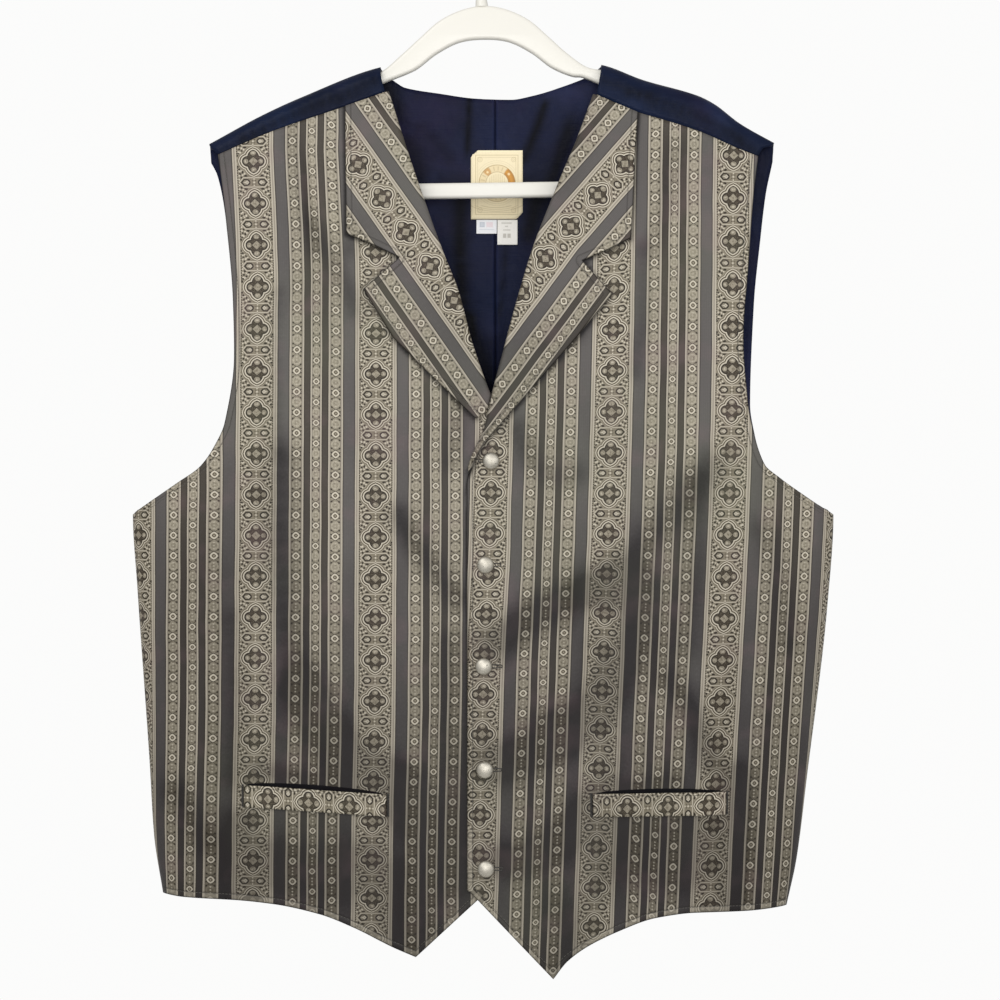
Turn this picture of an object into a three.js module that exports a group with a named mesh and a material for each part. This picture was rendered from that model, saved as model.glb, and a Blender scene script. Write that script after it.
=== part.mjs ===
// A western vest buttoned up on a moulded plastic hanger, hanging flat. Millimetres, +Z up.
// The origin is the inside top of the hanger's hook. The front of the vest faces -Y.
// Left and right are the wearer's, so the right front is on the -X side. The left front laps over it.
// Pieces: two fronts, two notched lapels, a satin back that laps forward over the shoulders,
// a back lining in two halves, two pocket welts, five shank buttons, three labels and the hanger.
import * as THREE from "three";

// Cloth thicknesses, and the gap kept between pieces
const FRONT_WALL = 2.0;
const LAPEL_WALL = 1.8;
const BACK_WALL = 1.2;
const LINING_WALL = 1.0;
const WELT_WALL = 1.6;
const LABEL_WALL = 1.0;
const GAP = 0.3;
const LAPEL_GAP = 0.6;
// A lapel stands this much further off its front at the outer edge
const LAPEL_RISE = 2.4;
// A welt is sewn down below and gapes a little above
const WELT_GAP = { bottom: 0.9, top: 1.5 };

// The section of the garment: two flattened half ovals that meet at the side seams
const OVAL_POWER = 2.4;
// The cloth turns over the hanger within this drop below the shoulder ridge
const NOSE = 12;
// The left front lies over the right one, level as far as flat and easing down to end
const OVERLAP = { flat: 22, end: 80, lift: FRONT_WALL + 0.4 };

// Depth of the front and back from the hanger's plane, by the drop below the shoulder ridge
const DEPTHS = [
  { drop: 0, front: 13, back: 13 },
  { drop: 40, front: 17, back: 16 },
  { drop: 100, front: 27, back: 22 },
  { drop: 200, front: 40, back: 29 },
  { drop: 300, front: 48, back: 33 },
  { drop: 400, front: 53, back: 36 },
  { drop: 520, front: 51, back: 35 },
  { drop: 640, front: 47, back: 33 },
  { drop: 800, front: 45, back: 31 },
];

// Outline of each side, as distances from the centre line. Above the armpit the side is a line
// that only shapes the section, because the armhole is cut inside it.
const SIDES = {
  right: {
    sign: -1,
    side: [
      { z: -150, x: 282 }, { z: -300, x: 297 }, { z: -420, x: 308 }, { z: -527, x: 316 },
      { z: -592, x: 312 }, { z: -748, x: 301 }, { z: -814, x: 297 }, { z: -866, x: 289 },
    ],
    ridge: [
      { x: 0, z: -108 }, { x: 93, z: -124.5 }, { x: 164, z: -151.5 }, { x: 199, z: -167.5 },
      { x: 247, z: -193.5 }, { x: 320, z: -232 },
    ],
    frontArmhole: [
      { z: -204, x: 238.5 }, { z: -260.5, x: 231 }, { z: -336, x: 223.5 }, { z: -386.5, x: 222 },
      { z: -445, x: 230 }, { z: -466.5, x: 239.5 }, { z: -484.5, x: 252.5 }, { z: -498, x: 272 },
      { z: -513, x: 294.5 }, { z: -527, x: 316 },
    ],
    backArmhole: [
      { z: -209.5, x: 246.5 }, { z: -259, x: 239 }, { z: -333, x: 230.5 }, { z: -384, x: 229 },
      { z: -443.5, x: 236 }, { z: -465.5, x: 245 }, { z: -484, x: 258 }, { z: -498, x: 277 },
      { z: -513, x: 298.5 }, { z: -527, x: 315.5 },
    ],
    // The flap of the back at the shoulder: its neck edge and its armhole edge, by the drop
    // below the ridge, counted negative once it has turned over to the front
    flap: [
      { drop: 16.5, neck: 81.5, arm: 246 }, { drop: 6, neck: 88, arm: 247 },
      { drop: 0, neck: 93, arm: 247 }, { drop: -12, neck: 92, arm: 241 },
      { drop: -22, neck: 88.5, arm: 238.5 },
    ],
    shoulderSeam: [
      { x: 88.5, z: -148.5 }, { x: 123, z: -161 }, { x: 191, z: -184 }, { x: 238.5, z: -204 },
    ],
    // The edge of the front, from the shoulder down the opening to the waist. Past the
    // centre line it is negative.
    edge: [
      { z: -148.5, x: 88.5 }, { z: -175.5, x: 78 }, { z: -243.5, x: 52 }, { z: -292.5, x: 33.5 },
      { z: -331, x: 20.5 }, { z: -372.5, x: 10.5 }, { z: -416, x: -3.5 }, { z: -441.5, x: -12 },
      { z: -480.5, x: -12 }, { z: -859.5, x: -12 },
    ],
    hem: [
      { x: -12, z: -851.5 }, { x: 60, z: -918 }, { x: 80, z: -909.5 }, { x: 115.5, z: -892 },
      { x: 145.5, z: -880.5 }, { x: 187, z: -872 }, { x: 223, z: -869 }, { x: 267.5, z: -868 },
      { x: 289, z: -866 },
    ],
    point: 60,
  },
  left: {
    sign: 1,
    side: [
      { z: -150, x: 286 }, { z: -300, x: 297 }, { z: -420, x: 307 }, { z: -527, x: 314.5 },
      { z: -604, x: 309.5 }, { z: -764, x: 290.5 }, { z: -835, x: 281.5 }, { z: -877, x: 272.5 },
    ],
    ridge: [
      { x: 0, z: -108 }, { x: 106, z: -122.5 }, { x: 143, z: -136 }, { x: 192, z: -150 },
      { x: 207, z: -157.5 }, { x: 230, z: -175 }, { x: 261, z: -192.5 }, { x: 320, z: -224 },
    ],
    frontArmhole: [
      { z: -205.5, x: 246 }, { z: -250.5, x: 240.5 }, { z: -300, x: 236.5 }, { z: -371.5, x: 231 },
      { z: -429, x: 235 }, { z: -453, x: 239.5 }, { z: -482.5, x: 249.5 }, { z: -494, x: 263 },
      { z: -509, x: 284.5 }, { z: -519, x: 300 }, { z: -527, x: 314.5 },
    ],
    backArmhole: [
      { z: -208.5, x: 260.5 }, { z: -238, x: 254.5 }, { z: -278, x: 250 }, { z: -337, x: 244.5 },
      { z: -427.5, x: 241.5 }, { z: -451.5, x: 245 }, { z: -482, x: 254.5 }, { z: -494, x: 268 },
      { z: -509, x: 288.5 }, { z: -519, x: 303 }, { z: -527, x: 314 },
    ],
    flap: [
      { drop: 16.5, neck: 91, arm: 260 }, { drop: 6, neck: 99, arm: 261 },
      { drop: 0, neck: 105.5, arm: 261 }, { drop: -12, neck: 104, arm: 250 },
      { drop: -22, neck: 101, arm: 246 },
    ],
    shoulderSeam: [
      { x: 101, z: -151 }, { x: 137, z: -166.5 }, { x: 161, z: -173.5 }, { x: 195, z: -184.5 },
      { x: 226, z: -198 }, { x: 246, z: -205.5 },
    ],
    edge: [
      { z: -151, x: 101 }, { z: -233.5, x: 65 }, { z: -290.5, x: 42.5 }, { z: -356, x: 24 },
      { z: -380.5, x: 17.5 }, { z: -419, x: 6.5 }, { z: -453.5, x: -4 }, { z: -481.5, x: -11.5 },
      { z: -500.5, x: -13 }, { z: -870.5, x: -13 },
    ],
    hem: [
      { x: -13, z: -859 }, { x: 61.5, z: -937.5 }, { x: 74, z: -922 }, { x: 96.5, z: -906 },
      { x: 119, z: -895.5 }, { x: 153, z: -884 }, { x: 187.5, z: -880 }, { x: 233.5, z: -879.5 },
      { x: 272.5, z: -877 },
    ],
    point: 61.5,
  },
};
const BACK_NECK = [
  { x: -82, z: -135 }, { x: -71, z: -141.5 }, { x: -40, z: -146 }, { x: 0, z: -150.5 },
  { x: 32, z: -151.5 }, { x: 49, z: -148 }, { x: 75, z: -139.5 }, { x: 91.5, z: -133 },
];
const BACK_HEM_RISE = 12;
const BACK_SEAM_X = 10;

// Outer edge of each lapel, with the height on the fold that each point is level with.
// The notch is the point where the edge turns back out.
const LAPELS = {
  right: [
    { x: 123.5, z: -162.5, fold: -150 }, { x: 122.5, z: -203, fold: -181 },
    { x: 121.5, z: -247, fold: -217.5 }, { x: 120.5, z: -278.5, fold: -243.5 },
    { x: 99, z: -287.5, fold: -259 }, { x: 74, z: -299.5, fold: -274 },
    { x: 105.5, z: -328, fold: -303.5 }, { x: 79, z: -371, fold: -339.5 },
    { x: 58, z: -392.5, fold: -365 }, { x: 37, z: -413.5, fold: -392.5 },
    { x: 18.5, z: -432, fold: -418 }, { x: 7.5, z: -442.5, fold: -438.5 },
  ],
  left: [
    { x: 137, z: -168, fold: -152.5 }, { x: 134.5, z: -211, fold: -189 },
    { x: 132, z: -254, fold: -225.5 }, { x: 130.5, z: -282, fold: -247.5 },
    { x: 108.5, z: -293, fold: -264 }, { x: 87, z: -302.5, fold: -280 },
    { x: 113.5, z: -332, fold: -307.5 }, { x: 82.5, z: -369.5, fold: -347 },
    { x: 44.5, z: -413.5, fold: -396.5 }, { x: 23, z: -438.5, fold: -426 },
    { x: 1.5, z: -463, fold: -453.5 }, { x: -7.5, z: -482.5, fold: -479 },
  ],
};

// Soft folds of the cloth. Each is a ridge, or a trough where its height is negative, that runs
// down from top to bottom and leans sideways by lean over its length.
const FOLDS = {
  right: [
    { x: 152, top: -175, bottom: -330, lean: -14, width: 11, height: 3.2 },
    { x: 180, top: -185, bottom: -390, lean: -8, width: 13, height: -2.6 },
    { x: 90, top: -520, bottom: -700, lean: 34, width: 22, height: -3.2 },
    { x: 205, top: -560, bottom: -850, lean: 16, width: 20, height: 4.0 },
    { x: 245, top: -640, bottom: -860, lean: 4, width: 15, height: -3.4 },
    { x: 52, top: -760, bottom: -920, lean: 12, width: 16, height: 3.0 },
  ],
  left: [
    { x: 158, top: -185, bottom: -360, lean: -6, width: 12, height: 2.6 },
    { x: 190, top: -200, bottom: -420, lean: 8, width: 14, height: -2.4 },
    { x: 122, top: -520, bottom: -760, lean: -40, width: 22, height: -3.6 },
    { x: 236, top: -540, bottom: -860, lean: -22, width: 18, height: -4.2 },
    { x: 205, top: -600, bottom: -880, lean: -14, width: 18, height: 3.6 },
    { x: 96, top: -800, bottom: -930, lean: 10, width: 18, height: 3.2 },
  ],
  back: [
    { x: -150, top: -260, bottom: -560, lean: 30, width: 22, height: 3.4 },
    { x: -70, top: -240, bottom: -520, lean: 10, width: 16, height: -3.0 },
    { x: 60, top: -220, bottom: -560, lean: 12, width: 18, height: -3.4 },
    { x: 165, top: -280, bottom: -620, lean: -34, width: 22, height: 3.2 },
    { x: -205, top: -560, bottom: -840, lean: 14, width: 18, height: -3.6 },
    { x: -40, top: -560, bottom: -850, lean: -30, width: 24, height: 3.8 },
    { x: 120, top: -600, bottom: -860, lean: 18, width: 22, height: -3.6 },
    { x: 220, top: -560, bottom: -850, lean: -16, width: 17, height: 3.2 },
  ],
};

// Pocket welts: corners on the fronts
const WELTS = {
  right: { inner: 85.5, outer: 212.5, innerTop: -774, outerTop: -766, height: 19.5 },
  left: { inner: 96, outer: 215, innerTop: -773.5, outerTop: -772.5, height: 20.5 },
};

// Shank buttons, 24 line, down the middle of the overlap
const BUTTON = { radius: 7.5, rim: 1.4, dome: 3.6, shankRadius: 2, shank: 1.2 };
const BUTTONS = [
  { x: 6.5, z: -479.5 }, { x: 1.5, z: -571 }, { x: 0, z: -660.5 }, { x: 1, z: -752 },
  { x: 2, z: -839.5 },
];

// Labels sewn to the lining under the back neck, each from its top left corner
const LABELS = {
  neck_label: { x: -12, top: -197, width: 47, height: 62 },
  flag_tab: { x: -7, top: -259.5, width: 18.5, height: 12.5 },
  size_tab: { x: 12.5, top: -259.5, width: 18.5, height: 22.5 },
};

// The moulded hanger, tilted a little. Its upper edge outside the neck is under the cloth.
const HANGER = {
  halfThick: 5, tilt: 0.012, bevel: 3, endX: 205, armHeight: 14, cloth: 4.6,
  bar: { z: -235.5, height: 14 },
  stations: [93, 110, 128, 146, 164, 181, 194],
  top: [
    { x: 0, z: -69.5 }, { x: 20, z: -73 }, { x: 40, z: -82.5 }, { x: 58, z: -98 },
    { x: 74, z: -112.5 },
  ],
  under: [
    { x: 0, z: -99.5 }, { x: 22, z: -102 }, { x: 43, z: -112.5 }, { x: 61, z: -126 },
    { x: 80, z: -134 },
  ],
};
const HOOK = { rod: 4.6, inner: 19, stemX: -2, bottom: -69.8 };

// Interpolation through a table, smooth and without overshoot
function through(rows, from, to) {
  const sorted = [...rows].sort((a, b) => a[from] - b[from]);
  const at = sorted.map((row) => row[from]);
  const value = sorted.map((row) => row[to]);
  const count = at.length;
  const secant = [];
  for (let k = 0; k < count - 1; k++) {
    secant.push((value[k + 1] - value[k]) / (at[k + 1] - at[k]));
  }
  const slope = at.map((_, k) => {
    if (k === 0) return secant[0];
    if (k === count - 1) return secant[count - 2];
    const [before, after] = [secant[k - 1], secant[k]];
    return before * after <= 0 ? 0 : (2 * before * after) / (before + after);
  });
  return (here) => {
    const a = Math.min(Math.max(here, at[0]), at[count - 1]);
    let k = 0;
    while (k < count - 2 && a > at[k + 1]) k++;
    const span = at[k + 1] - at[k];
    const t = (a - at[k]) / span;
    const rise = value[k + 1] - value[k];
    const [first, last] = [slope[k] * span, slope[k + 1] * span];
    return value[k] + t * (first + t * (3 * rise - 2 * first - last + t * (first + last - 2 * rise)));
  };
}

const mix = (a, b, t) => a + (b - a) * t;
const clamp01 = (t) => Math.min(Math.max(t, 0), 1);
const ease = (t) => clamp01(t) * clamp01(t) * (3 - 2 * clamp01(t));

const frontDepth = through(DEPTHS, "drop", "front");
const backDepth = through(DEPTHS, "drop", "back");
const cut = {};
for (const [name, rows] of Object.entries(SIDES)) {
  cut[name] = {
    sign: rows.sign,
    point: rows.point,
    side: through(rows.side, "z", "x"),
    ridge: through(rows.ridge, "x", "z"),
    frontArmhole: through(rows.frontArmhole, "z", "x"),
    backArmhole: through(rows.backArmhole, "z", "x"),
    flapNeck: through(rows.flap, "drop", "neck"),
    flapArm: through(rows.flap, "drop", "arm"),
    shoulderSeam: through(rows.shoulderSeam, "x", "z"),
    edge: through(rows.edge, "z", "x"),
    hem: [
      through(rows.hem.filter((row) => row.x <= rows.point), "x", "z"),
      through(rows.hem.filter((row) => row.x >= rows.point), "x", "z"),
    ],
    seamRows: rows.shoulderSeam,
  };
}
const backNeck = through(BACK_NECK, "x", "z");
const sideOf = (x) => (x < 0 ? cut.right : cut.left);

function foldHeight(folds, x, z) {
  let height = 0;
  for (const fold of folds) {
    const along = (z - fold.top) / (fold.bottom - fold.top);
    if (along <= 0 || along >= 1) continue;
    const away = (x - fold.x - fold.lean * along) / fold.width;
    height += fold.height * Math.exp(-away * away) * Math.sin(Math.PI * along) ** 0.8;
  }
  return height;
}

// How far the outer surface stands from the hanger's plane, at x across and drop below the ridge
function standOff(x, z, depth) {
  const half = sideOf(x).side(z);
  const across = Math.min(Math.abs(x) / half, 1);
  const drop = Math.max(sideOf(x).ridge(Math.abs(x)) - z, 0);
  const nose = Math.min(drop / NOSE, 1);
  const oval = Math.pow(1 - Math.pow(across, OVAL_POWER), 1 / OVAL_POWER);
  return {
    plain: depth(drop) * oval * Math.sqrt(nose * (2 - nose)),
    fade: ease((1 - across) / 0.12) * ease(drop / 60),
    seam: (GAP / 2) * ease((across - 0.9) / 0.1),
  };
}
function frontY(x, z, lap = 0) {
  const off = standOff(x, z, frontDepth);
  const folds = foldHeight(x < 0 ? FOLDS.right : FOLDS.left, Math.abs(x), z);
  const lift = lap * (1 - ease((x - OVERLAP.flat) / (OVERLAP.end - OVERLAP.flat)));
  return -(off.plain + folds * off.fade + off.seam + lift);
}
function backY(x, z) {
  const off = standOff(x, z, backDepth);
  return off.plain + foldHeight(FOLDS.back, x, z) * off.fade + off.seam;
}

// Outward normal of a surface y(x, z) that faces -Y or +Y
function normalOf(surface, x, z, facing) {
  const step = 0.002;
  const inward = x < 0 ? step : -step;
  const slopeX = (surface(x + inward, z) - surface(x, z)) / inward;
  const slopeZ = (surface(x, z - step) - surface(x, z + step)) / (-2 * step);
  return new THREE.Vector3(-slopeX * facing, facing, -slopeZ * facing).normalize();
}

// A closed cloth wall from a lattice of { outer, inner } points. Cells that present() leaves out
// are open, and every free edge is closed by a strip as wide as the cloth is thick.
function wallGeometry(lattice, present = () => true) {
  const [rows, columns] = [lattice.length, lattice[0].length];
  const positions = [];
  for (const face of ["outer", "inner"]) {
    for (const row of lattice) for (const node of row) positions.push(...node[face].toArray());
  }
  const outer = (j, i) => j * columns + i;
  const inner = (j, i) => outer(j, i) + rows * columns;
  const inside = (j, i) => j >= 0 && i >= 0 && j < rows - 1 && i < columns - 1 && present(j, i);
  const index = [];
  const quad = (a, b, c, d) => index.push(a, b, c, a, c, d);
  for (let j = 0; j < rows - 1; j++) {
    for (let i = 0; i < columns - 1; i++) {
      if (!inside(j, i)) continue;
      quad(outer(j, i), outer(j, i + 1), outer(j + 1, i + 1), outer(j + 1, i));
      quad(inner(j, i), inner(j + 1, i), inner(j + 1, i + 1), inner(j, i + 1));
      if (!inside(j - 1, i)) quad(outer(j, i), inner(j, i), inner(j, i + 1), outer(j, i + 1));
      if (!inside(j + 1, i)) {
        quad(outer(j + 1, i + 1), inner(j + 1, i + 1), inner(j + 1, i), outer(j + 1, i));
      }
      if (!inside(j, i - 1)) quad(outer(j + 1, i), inner(j + 1, i), inner(j, i), outer(j, i));
      if (!inside(j, i + 1)) {
        quad(outer(j, i + 1), inner(j, i + 1), inner(j + 1, i + 1), outer(j + 1, i + 1));
      }
    }
  }
  const first = lattice[0][0];
  const right = new THREE.Vector3().subVectors(lattice[0][1].outer, first.outer);
  const up = new THREE.Vector3().subVectors(lattice[1][0].outer, first.outer);
  const out = new THREE.Vector3().subVectors(first.outer, first.inner);
  if (right.cross(up).dot(out) < 0) {
    for (let k = 0; k < index.length; k += 3) {
      [index[k + 1], index[k + 2]] = [index[k + 2], index[k + 1]];
    }
  }
  const used = [...new Set(index)];
  const renumbered = new Map(used.map((old, k) => [old, k]));
  const kept = used.flatMap((old) => positions.slice(old * 3, old * 3 + 3));
  return new THREE.BufferGeometry()
    .setAttribute("position", new THREE.Float32BufferAttribute(kept, 3))
    .setIndex(index.map((old) => renumbered.get(old)));
}

// One lattice node on a surface: from and to are distances in from the surface along its normal
function layer(surface, x, z, facing, from, to) {
  const place = new THREE.Vector3(x, surface(x, z), z);
  const normal = normalOf(surface, x, z, facing);
  return {
    outer: place.clone().addScaledVector(normal, -from),
    inner: place.clone().addScaledVector(normal, -to),
  };
}

// Rows of a front, from the hem up: the heights of its two ends on the edge and on the side,
// with the share of the hem's and of the shoulder seam's shape that each row takes
function frontRows(side) {
  const bottom = { edge: side.hem[0](side.edge(-860)), outer: hemEnd(side) };
  const seam = side.seamRows;
  const top = { edge: seam[0].z, outer: seam[seam.length - 1].z };
  const low = -715;
  const high = -340;
  const rows = [];
  for (const t of [0, 0.12, 0.28, 0.46, 0.64, 0.82]) {
    const hem = 1 - ease(t);
    rows.push({ edge: mix(bottom.edge, low, t), outer: mix(bottom.outer, low, t), hem, seam: 0 });
  }
  const levels = [low, -672, -628, -588, -556, -527, -519, -511, -503, -494, -482, -466, -446,
    -420, -382];
  for (const level of levels) rows.push({ edge: level, outer: level, hem: 0, seam: 0 });
  for (const t of [0, 0.2, 0.4, 0.6, 0.8, 1]) {
    rows.push({ edge: mix(high, top.edge, t), outer: mix(high, top.outer, t), hem: 0, seam: ease(t) });
  }
  return rows;
}
function hemEnd(side) {
  return side.hem[1](1000);
}

// Columns of a front, from its edge to the side: one falls on the point of the hem
function frontColumns(side, edgeX, sideX) {
  const tip = (side.point - edgeX) / (sideX - edgeX);
  const past = [0, 0.08, 0.16, 0.24, 0.32, 0.4, 0.48, 0.56, 0.64, 0.72, 0.8, 0.87, 0.925, 0.965,
    0.988, 1];
  return [0, 0.33 * tip, 0.67 * tip, ...past.map((t) => mix(tip, 1, t))];
}

function frontNode(side, s, row) {
  const outline = (z) => (z > -527 ? side.frontArmhole(z) : side.side(z));
  const bottomZ = [side.hem[0](-1000), hemEnd(side)];
  const bottomX = [side.edge(-860), side.side(bottomZ[1])];
  const hemX = mix(bottomX[0], bottomX[1], s);
  const hemZ = (hemX < side.point ? side.hem[0] : side.hem[1])(hemX);
  const seam = side.seamRows;
  const last = seam[seam.length - 1];
  const seamX = mix(seam[0].x, last.x, s);
  const x = mix(side.edge(row.edge), outline(row.outer), s);
  const z =
    mix(row.edge, row.outer, s) +
    row.hem * (hemZ - mix(bottomZ[0], bottomZ[1], s)) +
    row.seam * (side.shoulderSeam(seamX) - mix(seam[0].z, last.z, s));
  return { x: side.sign * x, z };
}

function frontPanel(side) {
  const lap = side === cut.left ? OVERLAP.lift : 0;
  const surface = (x, z) => frontY(x, z, lap);
  const columns = frontColumns(side, side.edge(-860), side.side(hemEnd(side)));
  const rows = frontRows(side);
  const lattice = rows.map((row, j) =>
    columns.map((s) => {
      const place = frontNode(side, s, row);
      const z = j === rows.length - 1 ? place.z - GAP / 2 : place.z;
      return layer(surface, place.x, z, -1, 0, FRONT_WALL);
    }),
  );
  return wallGeometry(lattice);
}

// The lapel lies on its front, from the fold at the front's edge out to its own cut edge
function lapel(name) {
  const side = cut[name];
  const lap = name === "left" ? OVERLAP.lift : 0;
  const surface = (x, z) => frontY(x, z, lap);
  const outlineRows = LAPELS[name];
  const rows = [];
  outlineRows.slice(0, -1).forEach((row, k) => {
    const next = outlineRows[k + 1];
    for (const t of [0, 0.5]) {
      rows.push({ x: mix(row.x, next.x, t), z: mix(row.z, next.z, t), fold: mix(row.fold, next.fold, t) });
    }
  });
  rows.push(outlineRows[outlineRows.length - 1]);
  const foldX = (z) => {
    const edge = side.edge(z);
    const clear = -cut.left.edge(z) + 2;
    return name === "right" ? Math.max(edge, clear) : edge;
  };
  const lattice = rows.map((row) =>
    [0, 0.08, 0.28, 0.52, 0.76, 1].map((s) => {
      const x = mix(foldX(row.fold), row.x, s);
      const z = mix(row.fold, row.z, s);
      const lift = LAPEL_GAP + LAPEL_RISE * ease(s);
      return layer(surface, side.sign * x, z, -1, -lift - LAPEL_WALL, -lift);
    }),
  );
  return wallGeometry(lattice);
}

// The back and its lining share one lattice. Its rows climb the back, and past the neck row only
// the two shoulder flaps go on, over the ridge and down to the front's shoulder seam.
const BACK_COLUMNS = {
  across: [0, 0.008, 0.025, 0.055, 0.1, 0.155, 0.21, 0.27, 0.326, 0.385, 0.445, 0.505, 0.56, 0.615,
    0.665, 0.72, 0.775, 0.835, 0.89, 0.935, 0.97, 0.991, 1],
  rightNeck: 8,
  leftNeck: 14,
  seam: 11,
};
const BACK_LEVELS = [-825, -770, -715, -660, -605, -560, -527, -518, -508, -497, -484, -462, -430,
  -385, -335, -285, -240];
const FLAP_ANGLES = [90, 58, 30, 0, -30, -58, -90];
const NECK_ROW = BACK_LEVELS.length + 1;
const NECK_DROP = 16.5;

function backPlace(i, j) {
  const s = BACK_COLUMNS.across[i];
  const outline = (side, z) => (z > -527 ? side.backArmhole(z) : side.side(z));
  const hem = [hemEnd(cut.right), hemEnd(cut.left)];
  if (j <= NECK_ROW) {
    const ends = [cut.right, cut.left].map((side, k) => {
      const tip = side.ridge(side.backArmhole(-210)) - NECK_DROP;
      const z = j === 0 ? hem[k] : j === NECK_ROW ? tip : BACK_LEVELS[j - 1];
      return { x: side.sign * outline(side, z), z };
    });
    let x = mix(ends[0].x, ends[1].x, s);
    let z = mix(ends[0].z, ends[1].z, s);
    const arch = ease(1 - j / 5) * BACK_HEM_RISE * Math.sin(Math.PI * s);
    const rows = [NECK_ROW - 3, NECK_ROW];
    const share = ease((j - rows[0]) / (rows[1] - rows[0]));
    if (share > 0) {
      const corner = [-cut.right.flapNeck(NECK_DROP), cut.left.flapNeck(NECK_DROP)];
      const [first, last] = [BACK_COLUMNS.rightNeck, BACK_COLUMNS.leftNeck];
      const at = BACK_COLUMNS.across;
      let topX;
      if (i < first) topX = mix(ends[0].x, corner[0], s / at[first]);
      else if (i > last) topX = mix(corner[1], ends[1].x, (s - at[last]) / (1 - at[last]));
      else topX = mix(corner[0], corner[1], (s - at[first]) / (at[last] - at[first]));
      const onNeck = i >= first && i <= last;
      const topZ = onNeck ? backNeck(topX) : sideOf(topX).ridge(Math.abs(topX)) - NECK_DROP;
      x = mix(x, topX, share);
      z = mix(z, topZ + (mix(ends[0].z, ends[1].z, s) - mix(tipZ(0), tipZ(1), s)), share);
    }
    if (i === BACK_COLUMNS.seam) {
      x = BACK_SEAM_X;
      if (j === NECK_ROW) z = backNeck(x);
    }
    return { x, z: z + arch, front: false };
  }
  const side = s < 0.5 ? cut.right : cut.left;
  const edgeColumn = side === cut.right ? BACK_COLUMNS.rightNeck : BACK_COLUMNS.leftNeck;
  const atNeck = BACK_COLUMNS.across[edgeColumn];
  const out = side === cut.right ? 1 - s / atNeck : (s - atNeck) / (1 - atNeck);
  const row = j - NECK_ROW - 1;
  const seam = row >= FLAP_ANGLES.length;
  const angle = seam ? -90 : FLAP_ANGLES[row];
  const drop = Math.sign(angle) * NOSE * (1 - Math.cos((angle * Math.PI) / 180));
  if (seam) {
    const rows = side.seamRows;
    const x = mix(rows[0].x, rows[rows.length - 1].x, out);
    return { x: side.sign * x, z: side.shoulderSeam(x) + GAP / 2, front: true };
  }
  const x = mix(side.flapNeck(drop), side.flapArm(drop), out);
  return { x: side.sign * x, z: side.ridge(x) - Math.abs(drop), front: angle < 0 };
}
function tipZ(k) {
  const side = k === 0 ? cut.right : cut.left;
  return side.ridge(side.backArmhole(-210)) - NECK_DROP;
}

const flapRow = (j) => j >= NECK_ROW;
const neckCell = (i) => i >= BACK_COLUMNS.rightNeck && i < BACK_COLUMNS.leftNeck;

function backLattice(from, to) {
  const rowCount = NECK_ROW + FLAP_ANGLES.length + 2;
  const lattice = [];
  for (let j = 0; j < rowCount; j++) {
    lattice.push(
      BACK_COLUMNS.across.map((_, i) => {
        const place = backPlace(i, j);
        const surface = place.front ? (x, z) => frontY(x, z) : backY;
        return layer(surface, place.x, place.z, place.front ? -1 : 1, from, to);
      }),
    );
  }
  return lattice;
}
function backPanel() {
  return wallGeometry(backLattice(0, BACK_WALL), (j, i) => !(flapRow(j) && neckCell(i)));
}
// The lining is two halves that meet at the centre back seam
function liningHalf(name) {
  const from = BACK_WALL + GAP;
  const lattice = backLattice(from, from + LINING_WALL);
  const seam = BACK_COLUMNS.seam;
  const sign = cut[name].sign;
  for (const row of lattice) {
    for (const face of ["outer", "inner"]) row[seam][face].x = BACK_SEAM_X + (sign * GAP) / 2;
  }
  const mine = (i) => (name === "right" ? i < seam : i >= seam);
  return wallGeometry(lattice, (j, i) => mine(i) && !(flapRow(j) && neckCell(i)));
}

function welt(name) {
  const side = cut[name];
  const size = WELTS[name];
  const lap = name === "left" ? OVERLAP.lift : 0;
  const surface = (x, z) => frontY(x, z, lap);
  const columns = [0, 0.125, 0.25, 0.375, 0.5, 0.625, 0.75, 0.875, 1];
  const lattice = [0, 0.5, 1].map((t) =>
    columns.map((s) => {
      const x = mix(size.inner, size.outer, s);
      const z = mix(size.innerTop, size.outerTop, s) - size.height * (1 - t);
      const lift = WELT_GAP.bottom + (WELT_GAP.top - WELT_GAP.bottom) * t;
      return layer(surface, side.sign * x, z, -1, -lift - WELT_WALL, -lift);
    }),
  );
  return wallGeometry(lattice);
}

// A domed metal button on a short shank, its axis along -Y
function button(place) {
  const { radius, rim, dome, shankRadius, shank } = BUTTON;
  const profile = [
    [0, GAP], [shankRadius, GAP], [shankRadius, shank], [radius - 0.6, shank],
    [radius, shank + 0.5], [radius, shank + rim],
  ];
  for (const degrees of [22, 44, 66]) {
    const angle = (degrees * Math.PI) / 180;
    profile.push([radius * Math.cos(angle), shank + rim + dome * Math.sin(angle)]);
  }
  profile.push([0, shank + rim + dome]);
  const points = profile.map(([r, h]) => new THREE.Vector2(r, h));
  const mesh = new THREE.Mesh(new THREE.LatheGeometry(points, 12));
  mesh.rotation.x = Math.PI;
  mesh.position.set(place.x, frontY(place.x, place.z, OVERLAP.lift), place.z);
  return mesh;
}

// A label lies on the lining's inner face
function label(size) {
  const from = BACK_WALL + GAP + LINING_WALL + GAP;
  const lattice = [0, 0.5, 1].map((t) =>
    [0, 0.33, 0.67, 1].map((s) => {
      const x = size.x + size.width * s;
      const z = size.top - size.height * (1 - t);
      const node = layer(backY, x, z, 1, from, from + LABEL_WALL);
      return { outer: node.inner, inner: node.outer };
    }),
  );
  return wallGeometry(lattice);
}

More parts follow.
